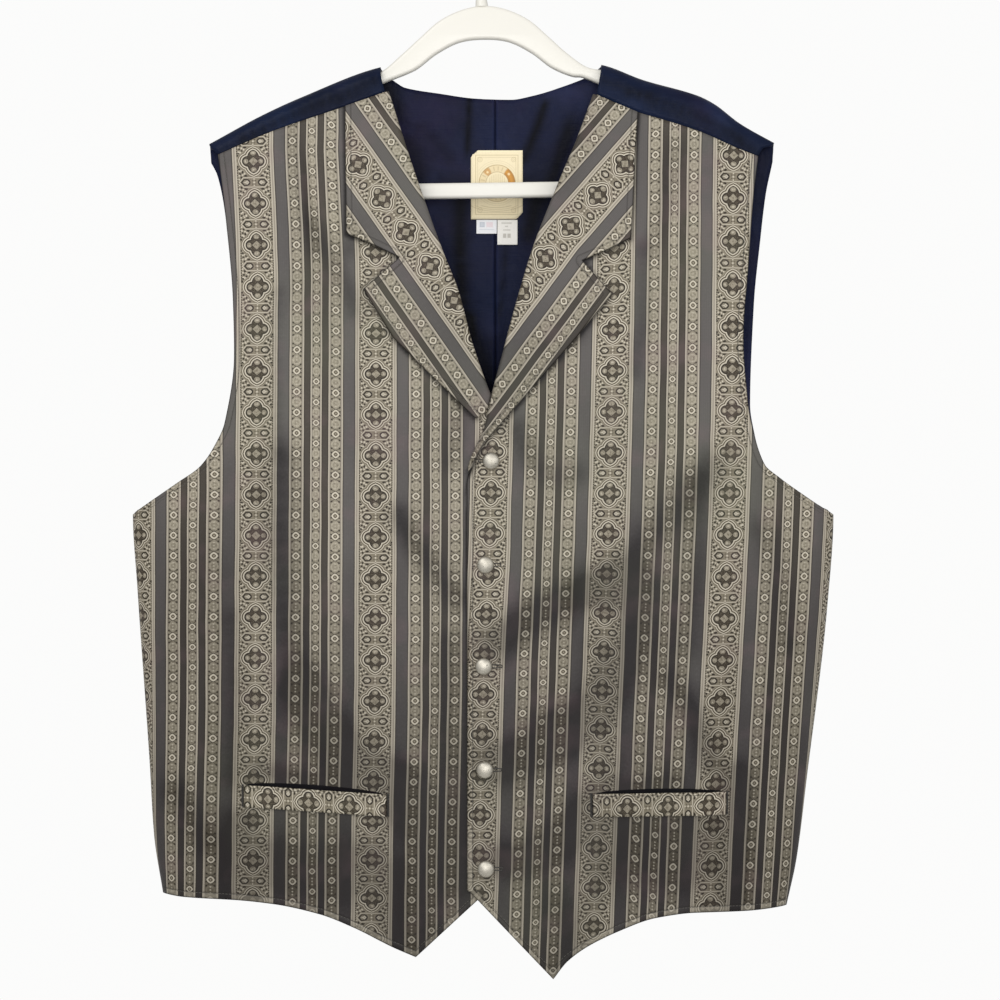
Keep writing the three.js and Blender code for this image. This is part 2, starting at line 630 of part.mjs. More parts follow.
// One half of the hanger's outline and of its inside edge, from the middle out and down to the bar
function hangerEdges(sign) {
  const side = sign < 0 ? cut.right : cut.left;
  const tilted = (x, z) => [x * sign, z + HANGER.tilt * x * sign];
  const outer = HANGER.top.map((row) => tilted(row.x, row.z));
  const inner = HANGER.under.map((row) => tilted(row.x, row.z));
  for (const x of HANGER.stations) {
    const z = side.ridge(x) - HANGER.cloth;
    outer.push([x * sign, z]);
    inner.push([(x - 5) * sign, z - HANGER.armHeight]);
  }
  const { endX, bar } = HANGER;
  const low = bar.z + HANGER.tilt * endX * sign - bar.height / 2;
  const shoulder = outer[outer.length - 1][1];
  outer.push([endX * sign, shoulder - 16], [(endX + 3) * sign, shoulder - 34]);
  outer.push([(endX - 2) * sign, low + 6], [(endX - 12) * sign, low]);
  inner.push([(endX - 14) * sign, shoulder - 26], [(endX - 12) * sign, low + bar.height + 8]);
  inner.push([(endX - 20) * sign, low + bar.height]);
  return { outer, inner };
}
function ring(first, second, count) {
  const points = [...first].reverse().concat(second.slice(1));
  const curve = new THREE.CatmullRomCurve3(
    points.map(([x, z]) => new THREE.Vector3(x, z, 0)), false, "centripetal",
  );
  return curve.getPoints(count).map((p) => new THREE.Vector2(p.x, p.y));
}
function hangerBody() {
  const [right, left] = [hangerEdges(-1), hangerEdges(1)];
  const shape = new THREE.Shape(ring(right.outer, left.outer, 46));
  shape.holes.push(new THREE.Path(ring(left.inner, right.inner, 38)));
  const depth = 2 * (HANGER.halfThick - HANGER.bevel);
  const geometry = new THREE.ExtrudeGeometry(shape, {
    depth, bevelEnabled: true, bevelThickness: HANGER.bevel, bevelSize: HANGER.bevel,
    bevelOffset: -HANGER.bevel, bevelSegments: 2, curveSegments: 4,
  });
  return geometry.translate(0, 0, -depth / 2).rotateX(Math.PI / 2);
}
function hangerHook() {
  const { rod, inner, stemX, bottom } = HOOK;
  const middle = inner + rod;
  const points = [
    new THREE.Vector3(stemX, 0, bottom + GAP), new THREE.Vector3(stemX, 0, bottom + 9),
    new THREE.Vector3(stemX + 5, 0, bottom + 17),
  ];
  for (let degrees = -50; degrees <= 200; degrees += 25) {
    const angle = (degrees * Math.PI) / 180;
    points.push(new THREE.Vector3(middle * Math.cos(angle), 0, middle * Math.sin(angle) - inner));
  }
  const path = new THREE.CatmullRomCurve3(points, false, "centripetal");
  const section = new THREE.Shape();
  section.absellipse(0, 0, rod, rod, 0, 2 * Math.PI);
  return new THREE.ExtrudeGeometry(section, { steps: 30, curveSegments: 4, extrudePath: path });
}

const finishes = {
  brocade: { color: 0x6f6a5d, roughness: 0.5, metalness: 0.1 },
  satin: { color: 0x151b34, roughness: 0.35, metalness: 0 },
  lining: { color: 0x141a33, roughness: 0.4, metalness: 0 },
  pewter: { color: 0xb9b6ac, roughness: 0.35, metalness: 1 },
  label: { color: 0xe6dcbc, roughness: 0.8, metalness: 0 },
  tape: { color: 0xf2f0ea, roughness: 0.8, metalness: 0 },
  plastic: { color: 0xf4f2e9, roughness: 0.4, metalness: 0 },
};
const materials = {};
for (const [name, finish] of Object.entries(finishes)) {
  materials[name] = new THREE.MeshStandardMaterial(finish);
}

const vest = new THREE.Group();
function add(name, piece, finish) {
  const mesh = piece.isMesh ? piece : new THREE.Mesh(piece);
  mesh.name = name;
  mesh.material = materials[finish];
  vest.add(mesh);
}
add("right_front", frontPanel(cut.right), "brocade");
add("left_front", frontPanel(cut.left), "brocade");
add("right_lapel", lapel("right"), "brocade");
add("left_lapel", lapel("left"), "brocade");
add("right_welt", welt("right"), "brocade");
add("left_welt", welt("left"), "brocade");
add("back", backPanel(), "satin");
add("back_lining_right", liningHalf("right"), "lining");
add("back_lining_left", liningHalf("left"), "lining");
BUTTONS.forEach((place, k) => add(`button_${k + 1}`, button(place), "pewter"));
for (const [name, size] of Object.entries(LABELS)) {
  add(name, label(size), name === "neck_label" ? "label" : "tape");
}
add("hanger", hangerBody(), "plastic");
add("hanger_hook", hangerHook(), "plastic");

export default vest;
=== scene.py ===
import math

import bmesh
import bpy
import numpy as np
from mathutils import Matrix


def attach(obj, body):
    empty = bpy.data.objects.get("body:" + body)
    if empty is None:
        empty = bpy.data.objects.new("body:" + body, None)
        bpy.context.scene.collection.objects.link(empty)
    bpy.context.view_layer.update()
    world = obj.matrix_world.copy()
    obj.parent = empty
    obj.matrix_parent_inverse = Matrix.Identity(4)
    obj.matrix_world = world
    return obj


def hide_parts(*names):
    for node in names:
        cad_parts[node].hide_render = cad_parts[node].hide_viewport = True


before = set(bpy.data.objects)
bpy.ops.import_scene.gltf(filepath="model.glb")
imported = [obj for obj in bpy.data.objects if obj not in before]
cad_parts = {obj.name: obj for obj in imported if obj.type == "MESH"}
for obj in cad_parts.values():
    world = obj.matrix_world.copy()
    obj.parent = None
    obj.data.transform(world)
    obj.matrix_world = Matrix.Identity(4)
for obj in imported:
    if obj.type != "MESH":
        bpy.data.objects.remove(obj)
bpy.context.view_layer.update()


# The two fronts. Each is cut from striped brocade, a silk-like jacquard with bands of quatrefoils,
# ringed flowers and plain rib, and hangs from the shoulder seam to a pointed hem. The left front
# laps over the right one at the buttons. Inside they are faced with the navy lining cloth.
def curve(*points):
    """A smooth curve through (at, value) pairs that never overshoots them."""
    at, value = np.array(sorted(points), float).T
    secant = np.diff(value) / np.diff(at)
    slope = np.concatenate([secant[:1], np.zeros(len(at) - 2), secant[-1:]])
    before, after = secant[:-1], secant[1:]
    same = before * after > 0
    slope[1:-1][same] = 2 * (before * after)[same] / (before + after)[same]

    def value_at(here):
        a = np.clip(here, at[0], at[-1])
        k = np.clip(np.searchsorted(at, a, side="right") - 1, 0, len(at) - 2)
        span = at[k + 1] - at[k]
        t = (a - at[k]) / span
        rise = value[k + 1] - value[k]
        first, last = slope[k] * span, slope[k + 1] * span
        return value[k] + t * (first + t * (3 * rise - 2 * first - last + t * (first + last - 2 * rise)))

    return value_at


def mix(a, b, t):
    return a + (b - a) * t


def ease(t):
    t = np.clip(t, 0, 1)
    return t * t * (3 - 2 * t)


# How much further out the left front lies, where it laps over the right one, and the fronts' wall
LAP, FRONT_WALL = 2.4, 2.0
# Heights of the armhole's lowest point, and of the straight part of the front edge near the hem
PIT, BOTTOM = -527, -860
# Beyond either end of any curve, where it keeps its last value
END = 1000
# The power of the oval that a level cut through the vest makes, and the radius over the shoulders
OVAL, NOSE = 2.4, 12


# Millimetres, as distances from the centre line at each height
class Right:
    sign = -1
    side = curve(
        (-150, 282), (-300, 297), (-420, 308), (-527, 316), (-592, 312), (-748, 301), (-814, 297),
        (-866, 289),
    )
    ridge = curve((0, -108), (93, -124.5), (164, -151.5), (199, -167.5), (247, -193.5), (320, -232))
    front_arm = curve(
        (-204, 238.5), (-260.5, 231), (-336, 223.5), (-386.5, 222), (-445, 230), (-466.5, 239.5),
        (-484.5, 252.5), (-498, 272), (-513, 294.5), (-527, 316),
    )
    back_arm = curve(
        (-209.5, 246.5), (-219, 241.5), (-240, 236.5), (-259, 233.8), (-333, 226), (-384, 224.6),
        (-443.5, 232.2), (-465.5, 241.7), (-484, 254.8), (-498, 274.5), (-513, 296.5), (-527, 315.5),
    )
    seam_ends = ((88.5, -148.5), (238.5, -204))
    shoulder = curve((88.5, -148.5), (123, -161), (191, -184), (238.5, -204))
    edge = curve(
        (-148.5, 88.5), (-175.5, 80), (-222, 65), (-243.5, 57.5), (-292.5, 40), (-331, 25), (-372.5, 14),
        (-402, 4.2), (-416, -1), (-441.5, -10.5), (-480.5, -12), (-859.5, -12),
    )
    point = 60
    hem_in = curve((-12, -851.5), (60, -918))
    hem_out = curve(
        (60, -918), (80, -909.5), (115.5, -892), (145.5, -880.5), (187, -872), (223, -869),
        (267.5, -868), (289, -866),
    )
    stripe = curve((-200, -101), (-330, -95.3), (-452, -95.2), (-680, -96), (-815, -98.6), (-930, -99.5))
    spread = curve((-150, 1), (-500, 1), (-940, 1))
    inner_rise = curve((-300, -1.1), (-735, -1.1), (-885, 6))
    outer_rise = curve(
        (-210, 10.5), (-248, 8.2), (-285, 6.6), (-360, 3.5), (-434, 1.3), (-520, 0.6),
        (-900, 1.2),
    )


class Left:
    sign = 1
    side = curve(
        (-150, 286), (-300, 297), (-420, 307), (-527, 314.5), (-604, 309.5), (-764, 290.5),
        (-835, 281.5), (-877, 272.5),
    )
    ridge = curve(
        (0, -108), (106, -122.5), (143, -136), (192, -150), (207, -157.5), (230, -175),
        (261, -192.5), (320, -224),
    )
    front_arm = curve(
        (-205.5, 246), (-250.5, 240.5), (-300, 236.5), (-371.5, 231), (-429, 235), (-453, 239.5),
        (-482.5, 249.5), (-494, 263), (-509, 284.5), (-519, 300), (-527, 314.5),
    )
    back_arm = curve(
        (-208.5, 260.5), (-238, 254.5), (-278, 250), (-337, 244.5), (-427.5, 241.5), (-451.5, 245),
        (-482, 254.5), (-494, 268), (-509, 288.5), (-519, 303), (-527, 314),
    )
    seam_ends = ((101, -151), (246, -205.5))
    shoulder = curve((101, -151), (137, -166.5), (161, -173.5), (195, -184.5), (226, -198), (246, -205.5))
    edge = curve(
        (-151, 101), (-190, 87), (-233.5, 69), (-290.5, 46.8), (-356, 27.4), (-380.5, 21), (-419, 10.6),
        (-436, 6.6), (-453.5, 1), (-481.5, -10.8), (-500.5, -14.8), (-870.5, -14.8),
    )
    point = 61.5
    hem_in = curve((-13, -859), (61.5, -937.5))
    hem_out = curve(
        (61.5, -937.5), (74, -922), (96.5, -906), (119, -895.5), (153, -884), (187.5, -880),
        (233.5, -879.5), (272.5, -877),
    )
    stripe = curve((-150, 13.4), (-540, 3.3), (-930, -6.8))
    spread = curve((-220, 1.002), (-452, 0.991), (-814, 1.0237), (-930, 1.034))
    inner_rise = curve(
        (-362, -1.3), (-470, -1.5), (-550, -0.6), (-610, 1.6), (-690, 6.4), (-760, 9.4),
        (-900, 14),
    )
    outer_rise = curve(
        (-190, 14), (-245, 10.1), (-321, 4.5), (-434, 0.1), (-520, -1), (-620, -3.7),
        (-880, -7.6),
    )


front_depth = curve(
    (0, 13), (40, 17), (100, 27), (200, 40), (300, 48), (400, 53), (520, 51), (640, 47),
    (800, 45),
)
back_depth = curve(
    (0, 13), (40, 16), (100, 22), (200, 29), (300, 33), (400, 36), (520, 35), (640, 33),
    (800, 31),
)

# Folds and creases: distance from the centre line, top, bottom, lean, width and height
RIGHT_FOLDS = (
    (152, -175, -330, -14, 11, 3.2), (180, -185, -390, -8, 13, -2.6), (90, -520, -700, 34, 22, -3.2),
    (205, -560, -850, 16, 20, 4.0), (245, -640, -860, 4, 15, -3.4), (52, -760, -920, 12, 16, 3.0),
    (140, -190, -300, -10, 4, 0.9), (166, -180, -345, -12, 4, -0.8), (128, -480, -640, 22, 9, 1.0),
    (70, -500, -690, 16, 8, -1.0), (228, -600, -820, 10, 6, 1.1), (150, -640, -780, -18, 9, 0.9),
    (240, -420, -475, 40, 4, 1.2), (34, -620, -760, 6, 6, 0.8), (270, -560, -700, -6, 6, -1.0),
)
LEFT_FOLDS = (
    (158, -185, -360, -6, 12, 2.6), (190, -200, -420, 8, 14, -2.4), (122, -520, -760, -40, 22, -3.6),
    (236, -540, -860, -22, 18, -4.2), (205, -600, -880, -14, 18, 3.6), (96, -800, -930, 10, 18, 3.2),
    (142, -200, -330, 6, 4, 0.8), (212, -230, -400, -4, 5, 0.8), (60, -500, -700, 24, 9, 1.1),
    (92, -520, -720, -22, 7, -1.0), (160, -560, -720, -24, 8, 1.0), (262, -600, -820, -10, 6, -1.1),
    (176, -640, -850, 8, 7, -0.9), (40, -640, -840, -8, 7, 0.8), (228, -430, -500, 30, 5, 1.1),
)


def folded(rows, x, z):
    height = np.zeros(np.broadcast(x, z).shape)
    for place, top, bottom, lean, width, size in rows:
        along = np.clip((z - top) / (bottom - top), 0, 1)
        away = (x - place - lean * along) / width
        height = height + size * np.exp(-away * away) * np.sin(np.pi * along) ** 0.8
    return height


def by_side(x, right, left):
    return np.where(np.asarray(x) < 0, right, left)


def stand_off(x, z, depth):
    """How far the cloth stands from the hanger's plane, before folds, and how much of a fold shows."""
    half = by_side(x, Right.side(z), Left.side(z))
    ridge = by_side(x, Right.ridge(np.abs(x)), Left.ridge(np.abs(x)))
    across = np.minimum(np.abs(x) / half, 1)
    drop = np.maximum(ridge - z, 0)
    nose = np.minimum(drop / NOSE, 1)
    plain = depth(drop) * (1 - across**OVAL) ** (1 / OVAL) * np.sqrt(nose * (2 - nose))
    return plain + 0.15 * ease((across - 0.9) / 0.1), ease((1 - across) / 0.12) * ease(drop / 60)


def front_y(x, z, lap=0):
    plain, fade = stand_off(x, z, front_depth)
    away = np.abs(x)
    folds = by_side(x, folded(RIGHT_FOLDS, away, z), folded(LEFT_FOLDS, away, z))
    return -(plain + folds * fade + lap * (1 - ease((x - 22) / 58)))


def girth(x, z, depth, count=48):
    """Distance across the cloth from the centre line: level on the front, then round the side."""
    half = by_side(x, Right.side(z), Left.side(z))
    share = np.minimum(np.abs(x) / half, 1)
    total, last, deep_last = 0, 0, depth
    for k in range(1, count + 1):
        here = share * k / count
        deep = depth * (1 - here**OVAL) ** (1 / OVAL)
        total = total + np.hypot((here - last) * half, (deep - deep_last) * ease((here - 0.88) / 0.1))
        last, deep_last = here, deep
    return np.sign(x) * total


def normals(grid, facing):
    across = np.gradient(grid, axis=1)
    along = np.gradient(grid, axis=0)
    normal = np.cross(across, along)
    normal /= np.linalg.norm(normal, axis=2, keepdims=True) + 1e-12
    return normal * np.where((normal @ np.array(facing, float)) < 0, -1, 1)[..., None]


def solid(name, points, faces, flat=0):
    """A piece from points in millimetres. Its faces are smooth but for the last few, which are flat."""
    mesh = bpy.data.meshes.new(name)
    mesh.from_pydata((np.array(points) / 1000).tolist(), [], faces)
    mesh.polygons.foreach_set("use_smooth", np.arange(len(faces)) < len(faces) - flat)
    piece = bpy.data.objects.new(name, mesh)
    bpy.context.scene.collection.objects.link(piece)
    return piece


def shell(name, outer, inner, uv, keep=None, look=None):
    """A closed cloth wall between two grids of points in millimetres. uv is the place in the cloth,
    and look is the painted shade, for where the weave is turned from the light and for fold and contact
    shadows, and the distance from the nearest edge."""
    rows, columns = outer.shape[:2]
    keep = np.ones((rows - 1, columns - 1), bool) if keep is None else keep
    index = np.arange(rows * columns).reshape(rows, columns)
    under = rows * columns
    corner = np.stack([index[:-1, :-1], index[:-1, 1:], index[1:, 1:], index[1:, :-1]], -1)
    faces = [corner[keep]]
    padded = np.pad(keep, 1)
    for dr, dc, a, b in ((-1, 0, 0, 1), (0, 1, 1, 2), (1, 0, 2, 3), (0, -1, 3, 0)):
        edge = corner[keep & ~padded[1 + dr : rows + dr, 1 + dc : columns + dc]]
        faces.append(np.stack([edge[:, b], edge[:, a], edge[:, a] + under, edge[:, b] + under], -1))
    outside = sum(len(part) for part in faces)
    faces = np.concatenate(faces + [corner[keep][:, ::-1] + under])
    points = np.concatenate([outer.reshape(-1, 3), inner.reshape(-1, 3)])
    a, b, c = (points[faces[0][k]] for k in range(3))
    if np.cross(b - a, c - a) @ (outer[0, 0] - inner[0, 0]) < 0:
        faces = faces[:, ::-1]
    used, faces = np.unique(faces, return_inverse=True)
    faces = faces.reshape(-1, 4)
    piece = solid(name, points[used], faces.tolist())
    mesh = piece.data
    for title, values in (("cloth", uv / 1000), ("look", look)):
        if values is not None:
            flat = np.concatenate([values.reshape(-1, 2)] * 2)[used]
            mesh.uv_layers.new(name=title).data.foreach_set("uv", flat[faces.reshape(-1)].ravel())
    mesh.polygons.foreach_set("material_index", (np.arange(len(faces)) >= outside).astype(int))
    return piece


class Field:
    """A shader socket that Python arithmetic adds nodes to."""

    def __init__(self, tree, socket=None):
        self.tree, self.socket = tree, socket

    def node(self, kind, inputs=(), out=0, **settings):
        made = self.tree.nodes.new("ShaderNode" + kind)
        for name, value in settings.items():
            setattr(made, name, value)
        pairs = inputs.items() if isinstance(inputs, dict) else enumerate(inputs)
        for key, value in pairs:
            if isinstance(value, Field):
                self.tree.links.new(value.socket, made.inputs[key])
            else:
                made.inputs[key].default_value = value
        return Field(self.tree, made.outputs[out])

    def math(self, operation, *others, clamp=False):
        return self.node("Math", (self, *others), operation=operation, use_clamp=clamp)

    def __add__(self, other):
        return self.math("ADD", other)

    def __sub__(self, other):
        return self.math("SUBTRACT", other)

    def __rsub__(self, other):
        return self.node("Math", (other, self), operation="SUBTRACT")

    def __mul__(self, other):
        return self.math("MULTIPLY", other)

    def __truediv__(self, other):
        return self.math("DIVIDE", other)

    def __abs__(self):
        return self.math("ABSOLUTE")

    __radd__ = __add__
    __rmul__ = __mul__

    def part(self, axis):
        """One coordinate of a vector."""
        return self.node("SeparateXYZ", (self,), out=axis)

    def least(self, other):
        return self.math("MINIMUM", other)

    def most(self, other):
        return self.math("MAXIMUM", other)

    def clamp(self):
        return self.math("ADD", 0, clamp=True)

    def above(self, level, gain):
        """0 up to a level, and from there rising to 1."""
        return ((self - level) * gain).clamp()

    def below(self, level, gain):
        return ((level - self) * gain).clamp()

    def repeat(self, period, shift=0):
        """Distance from the nearest of the centres that lie at shift and every period from it."""
        return ((self - shift) / period + 0.5).math("FRACT") * period - period / 2

    def away(self, other):
        return (self * self + other * other).math("SQRT")

    def inside(self, soft=0.35):
        """1 where a distance is negative, 0 where it is positive."""
        return (0.5 - self / soft).clamp()

    def line(self, at, half, soft=0.35):
        return (abs(self - at) - half).inside(soft)

    def noise(self, scale, detail=2, seed=0, stretch=(1, 1, 1)):
        """Cloudy noise from 0 to 1 over a vector, whose patches are about 1/scale across."""
        placed = self.node("Mapping", {"Vector": self, "Scale": stretch, "Location": (seed, seed, 0)})
        return self.node("TexNoise", {"Vector": placed, "Scale": scale, "Detail": detail})

    def paint(self, base, *layers):
        """A colour with others laid over it, each a (mask, colour) pair."""
        # For colours, a Mix node's sockets are 0 (the mask), 6 and 7 (the two colours) and 2 (the result)
        for mask, colour in layers:
            base = self.node("Mix", {0: mask, 6: base, 7: colour}, out=2, data_type="RGBA")
        return base


def srgb(red, green, blue):
    """A colour given as it shows on a screen, from 0 to 255."""
    shares = [level / 255 for level in (red, green, blue)]
    return (*(c / 12.92 if c <= 0.04045 else ((c + 0.055) / 1.055) ** 2.4 for c in shares), 1.0)


def tinted(colour, gain, lift=0):
    """A screen colour made lighter or darker, all over or each of its parts by its own gain."""
    return srgb(*(np.array(colour) * gain + lift))


def material(name, **plain):
    made = bpy.data.materials.new(name)
    made.use_nodes = True
    shader = made.node_tree.nodes["Principled BSDF"]
    for key, value in plain.items():
        shader.inputs[key.replace("_", " ")].default_value = value
    return made, Field(made.node_tree), shader


def connect(field, shader, **sockets):
    for key, value in sockets.items():
        field.tree.links.new(value.socket, shader.inputs[key.replace("_", " ")])


# The brocade's width of one repeat of the stripes, and height of one quatrefoil with its leaves
STRIPE, REPEAT = 106.0, 36.1
# Half widths of the wide band and the two narrow ones, and how far those two lie from its middle
Q_HALF, A_AT, A_HALF, B_AT, B_HALF = 18.3, 35.6, 6.4, 53.0, 5.0


def make_brocade():
    made, field, shader = material(
        "brocade", Specular_IOR_Level=0.2, Sheen_Weight=0.05, Sheen_Roughness=0.4,
    )
    cloth = field.node("UVMap", uv_map="cloth")
    look = field.node("UVMap", uv_map="look")
    place = field.node("TexCoord", out="Object")
    wander = cloth.noise(25, 1)
    u = cloth.part(0) * 1000 + (wander - 0.5) * 1.0
    v = cloth.part(1) * 1000
    edge = look.part(1) * 1000
    speck = cloth.noise(950, 2, 3)
    fine = cloth.noise(430, 3, 9)
    # Painted shade: how dark the cloth is painted where the weave is turned from the light or a fold shades
    # it, from the look map made patchy by noise
    sheen_patch = cloth.noise(13, 3, 4, (1, 0.5, 1))
    painted_dimness = look.part(0) + (sheen_patch - 0.5) * 0.7 + (fine - 0.5) * 0.25
    painted_dimness = painted_dimness.clamp()

    light, pale, mid, deep = srgb(214, 205, 186), srgb(182, 173, 154), srgb(108, 98, 81), srgb(34, 27, 19)

    # The wide band: a quatrefoil in a double line, pairs of leaves between, and scrolls at the sides
    across = abs(u.repeat(STRIPE))
    x, y = across, abs(v.repeat(REPEAT)) * 1.036
    between = 18.7 - y
    near, up = x * 1.1, y * 1.16
    lobe = ((near - 5.5).away(up) - 5.0).least((near + 2.5).away(up - 4.5) - 7.7).least(near.away(up) - 3.5)
    line = lobe.least(near * 1.05 + up * 0.95 - 11.5)
    petal = ((near - 7.4).away(up * 0.88) - 2.35).least((near * 0.85).away(up - 8.7) - 2.5)
    diamond = near + up - 4.6
    notch = (near - 6.4).away(up).least(near.away(up - 7.4)) - 0.5
    frame_line = (between - 4.2).most((x - 13.2 + between * 0.88) * 0.75)
    leaf = (frame_line + 0.95).most((((x - 7.0).least(0) / 3.7).away(between / 3.1) - 1) * 3.2)
    kernel = (abs(x - 6.3) + between - 2.1).least(((x - 10.4) * 0.42 + between * 1.3).most(6.3 - x))
    near_x, near_y = x + (speck * 1.6 - 0.8), y + fine * 2.4 - 1.2

    def nearest(*places):
        """Distance to the nearest of some places, ragged as the weave is."""
        distances = [(near_x - at_x).away(near_y - at_y) for at_x, at_y in places]
        least = distances[0]
        for each in distances[1:]:
            least = least.least(each)
        return least

    spots = nearest((11.3, 14.2), (12.2, 11.0), (13.9, 4.9), (10.0, 9.7), (12.8, 7.3))
    spots = spots.least(((near_x - 7.4) * 0.55).away(near_y - 12.9))
    sparks = nearest((12.7, 8.6), (13.0, 12.8), (10.2, 12.2), (12.9, 16.4), (8.4, 11.0), (11.4, 8.3))
    wide = field.paint(
        srgb(150, 141, 123),
        ((speck - 0.54) * 7, mid),
        ((fine - 0.56) * 6, pale),
        (fine.below(0.42, 8) * 0.45, deep),
        ((sparks - 0.75).inside(0.5), light),
        ((spots - 0.85).inside(0.5), deep),
        ((x - 14.3).line(0, 0.5) * v.repeat(2.1).line(0, 0.6, 0.5) * (5.5 - y).inside(2.0) * 0.9, deep),
        ((frame_line - 1.1).inside(0.5) * 0.55, mid),
        ((frame_line - 0.4).inside(), srgb(200, 191, 173)),
        ((frame_line + 0.45).inside(), srgb(142, 133, 115)),
        (speck.above(0.5, 8) * (frame_line + 0.6).inside() * 0.6, mid),
        ((x.away(between) - 0.8).least(x.away(between - 2.9) - 0.6).inside(), light),
        (((x - 1.4).away(between - 1.5) - 0.5).inside() * 0.7, deep),
        (leaf.inside(), deep),
        ((leaf + 1.15).inside(0.5), srgb(150, 141, 123)),
        ((kernel - 0.35).inside() * 0.4, deep),
        ((kernel + 0.15).inside() * 0.8, light),
        (((x - 6.3).away(between) - 0.45).inside() * 0.6, mid),
        ((line - 4.75).inside() * 0.8, srgb(86, 77, 62)),
        ((line - 4.05).inside(), light),
        ((line - 3.1).inside(), mid),
        ((line - 2.85).inside(0.5), srgb(76, 67, 53)),
        ((line - 2.15).inside(0.5), mid),
        ((line - 1.85).inside(), light),
        ((lobe - 0.65).inside(), deep),
        ((lobe + 0.3).inside(0.7), srgb(62, 53, 41)),
        (speck.above(0.5, 12) * (lobe + 0.3).inside(0.7) * 0.35, srgb(136, 127, 110)),
        ((petal - 0.6).inside(0.6) * 0.8, deep),
        ((diamond - 0.9).inside(0.7) * 0.8, deep),
        (petal.inside(0.5), srgb(158, 149, 131)),
        ((petal + 1.2).inside(0.9) * 0.55, light),
        (diamond.inside(0.6), srgb(164, 155, 137)),
        (fine.above(0.48, 9) * (diamond.least(petal)).inside() * 0.6, mid),
        (notch.inside(0.5) * 0.65, mid),
        ((x.away(y) - 0.6).inside() * 0.7, mid),
        ((14.9 - x).inside(), srgb(178, 169, 154)),
        (x.line(15.3, 0.3) * 0.7, light),
        (x.line(16.7, 0.35) * 0.45, mid),
        (x.line(17.8, 0.35) * 0.5, light),
    )

    # The two narrow bands: ringed flowers, and between them faint rosettes with a line of beads. Their
    # ground has a lit and a painted-shade copy, and how strongly flecks, rings and beads show follows the
    # painted shade
    def narrow(at, half, shift, size):
        off = abs(across - at)
        near = abs(v.repeat(REPEAT / 2, shift)) * 1.036
        far = 9.35 - near
        flower = off.away(near) * 0.6 + (off + near) * 0.32
        arm = abs(off - (near - 3.2 * size) * 1.45) * 0.57 - 0.3
        arm = arm.most(near - 6.4).most(3.0 - near)
        dots = (off - 3.7 * size).away(near - 1.8).least((off - 3.4 * size).away((near - 5.5) * 0.8)) - 0.72
        beads = off.away(far).least(off.away(far - 2.8)) - 0.72
        ring = abs((off / (3.4 * size)).away(far / 3.5) - 0.95) - 0.12
        ground = field.paint(srgb(158, 150, 132), (painted_dimness, srgb(84, 76, 60)))
        return field.paint(
            ground,
            ((speck - 0.55) * 7, mid),
            ((fine - 0.54) * 5 * (1.2 - painted_dimness), pale),
            (fine.below(0.42, 7) * 0.5, deep),
            (ring.inside(0.3) * (0.45 - painted_dimness * 0.4).clamp(), light),
            (beads.inside(0.5) * (0.4 + painted_dimness * 0.45), light),
            (arm.inside(0.5) * 0.7, deep),
            (dots.inside(0.5) * 0.9, deep),
            ((flower - 3.8 * size).inside() * 0.85, deep),
            ((flower - 3.2 * size).inside(), light),
            ((flower - 1.75 * size).inside(), srgb(84, 75, 59)),
            ((flower - 0.8 * size).inside(0.6), srgb(170, 161, 143)),
            (speck.above(0.5, 9) * (flower - 1.7 * size).inside() * 0.6, mid),
            ((half - 1.9 * size - off).inside(), srgb(174, 165, 150)),
            (off.line(half - 0.45, 0.35) * 0.5, light),
            (off.line(half - 1.9 * size, 0.25) * 0.45, deep),
        )

    # Between the bands: matt ribbed satin with a dark line along each band, darkened by the painted shade
    gap = abs(across - 0.5 * (A_AT + A_HALF + B_AT - B_HALF))
    ribs = v.repeat(1.25).line(0, 0.3, 0.5) * 0.14 + u.repeat(1.7).line(0, 0.35, 0.6) * 0.1
    plain = field.paint(
        srgb(99, 95, 93),
        ((gap - 3.2).inside(), srgb(73, 67, 59)),
        (ribs, srgb(62, 58, 53)),
        ((fine - 0.5).clamp() * 0.5, srgb(128, 123, 115)),
        ((painted_dimness * 1.15).clamp(), srgb(43, 39, 43)),
    )
    in_q = (across - Q_HALF).inside()
    in_a = (abs(across - A_AT) - A_HALF).inside()
    in_b = (abs(across - B_AT) - B_HALF).inside()
    border = abs(across - Q_HALF)
    for at, half in ((A_AT, A_HALF), (B_AT, B_HALF)):
        border = border.least(abs(abs(across - at) - half))
    colour = field.paint(
        plain,
        ((border - 0.9).inside(0.7) * 0.7, srgb(46, 41, 33)),
        (in_q, wide),
        (in_a, narrow(A_AT, A_HALF, 0, 1.0)),
        (in_b, narrow(B_AT, B_HALF, REPEAT / 4, 0.86)),
    )
    # The turned hem stands up a little below its stitching; a painted highlight stands for the light it
    # catches
    hem = (place.part(2) * -100 - 80).clamp()
    figured = in_q.most(in_a).most(in_b)
    colour = field.paint(colour, ((edge - 4.6).inside(0.6) * hem * figured * 0.4, light))
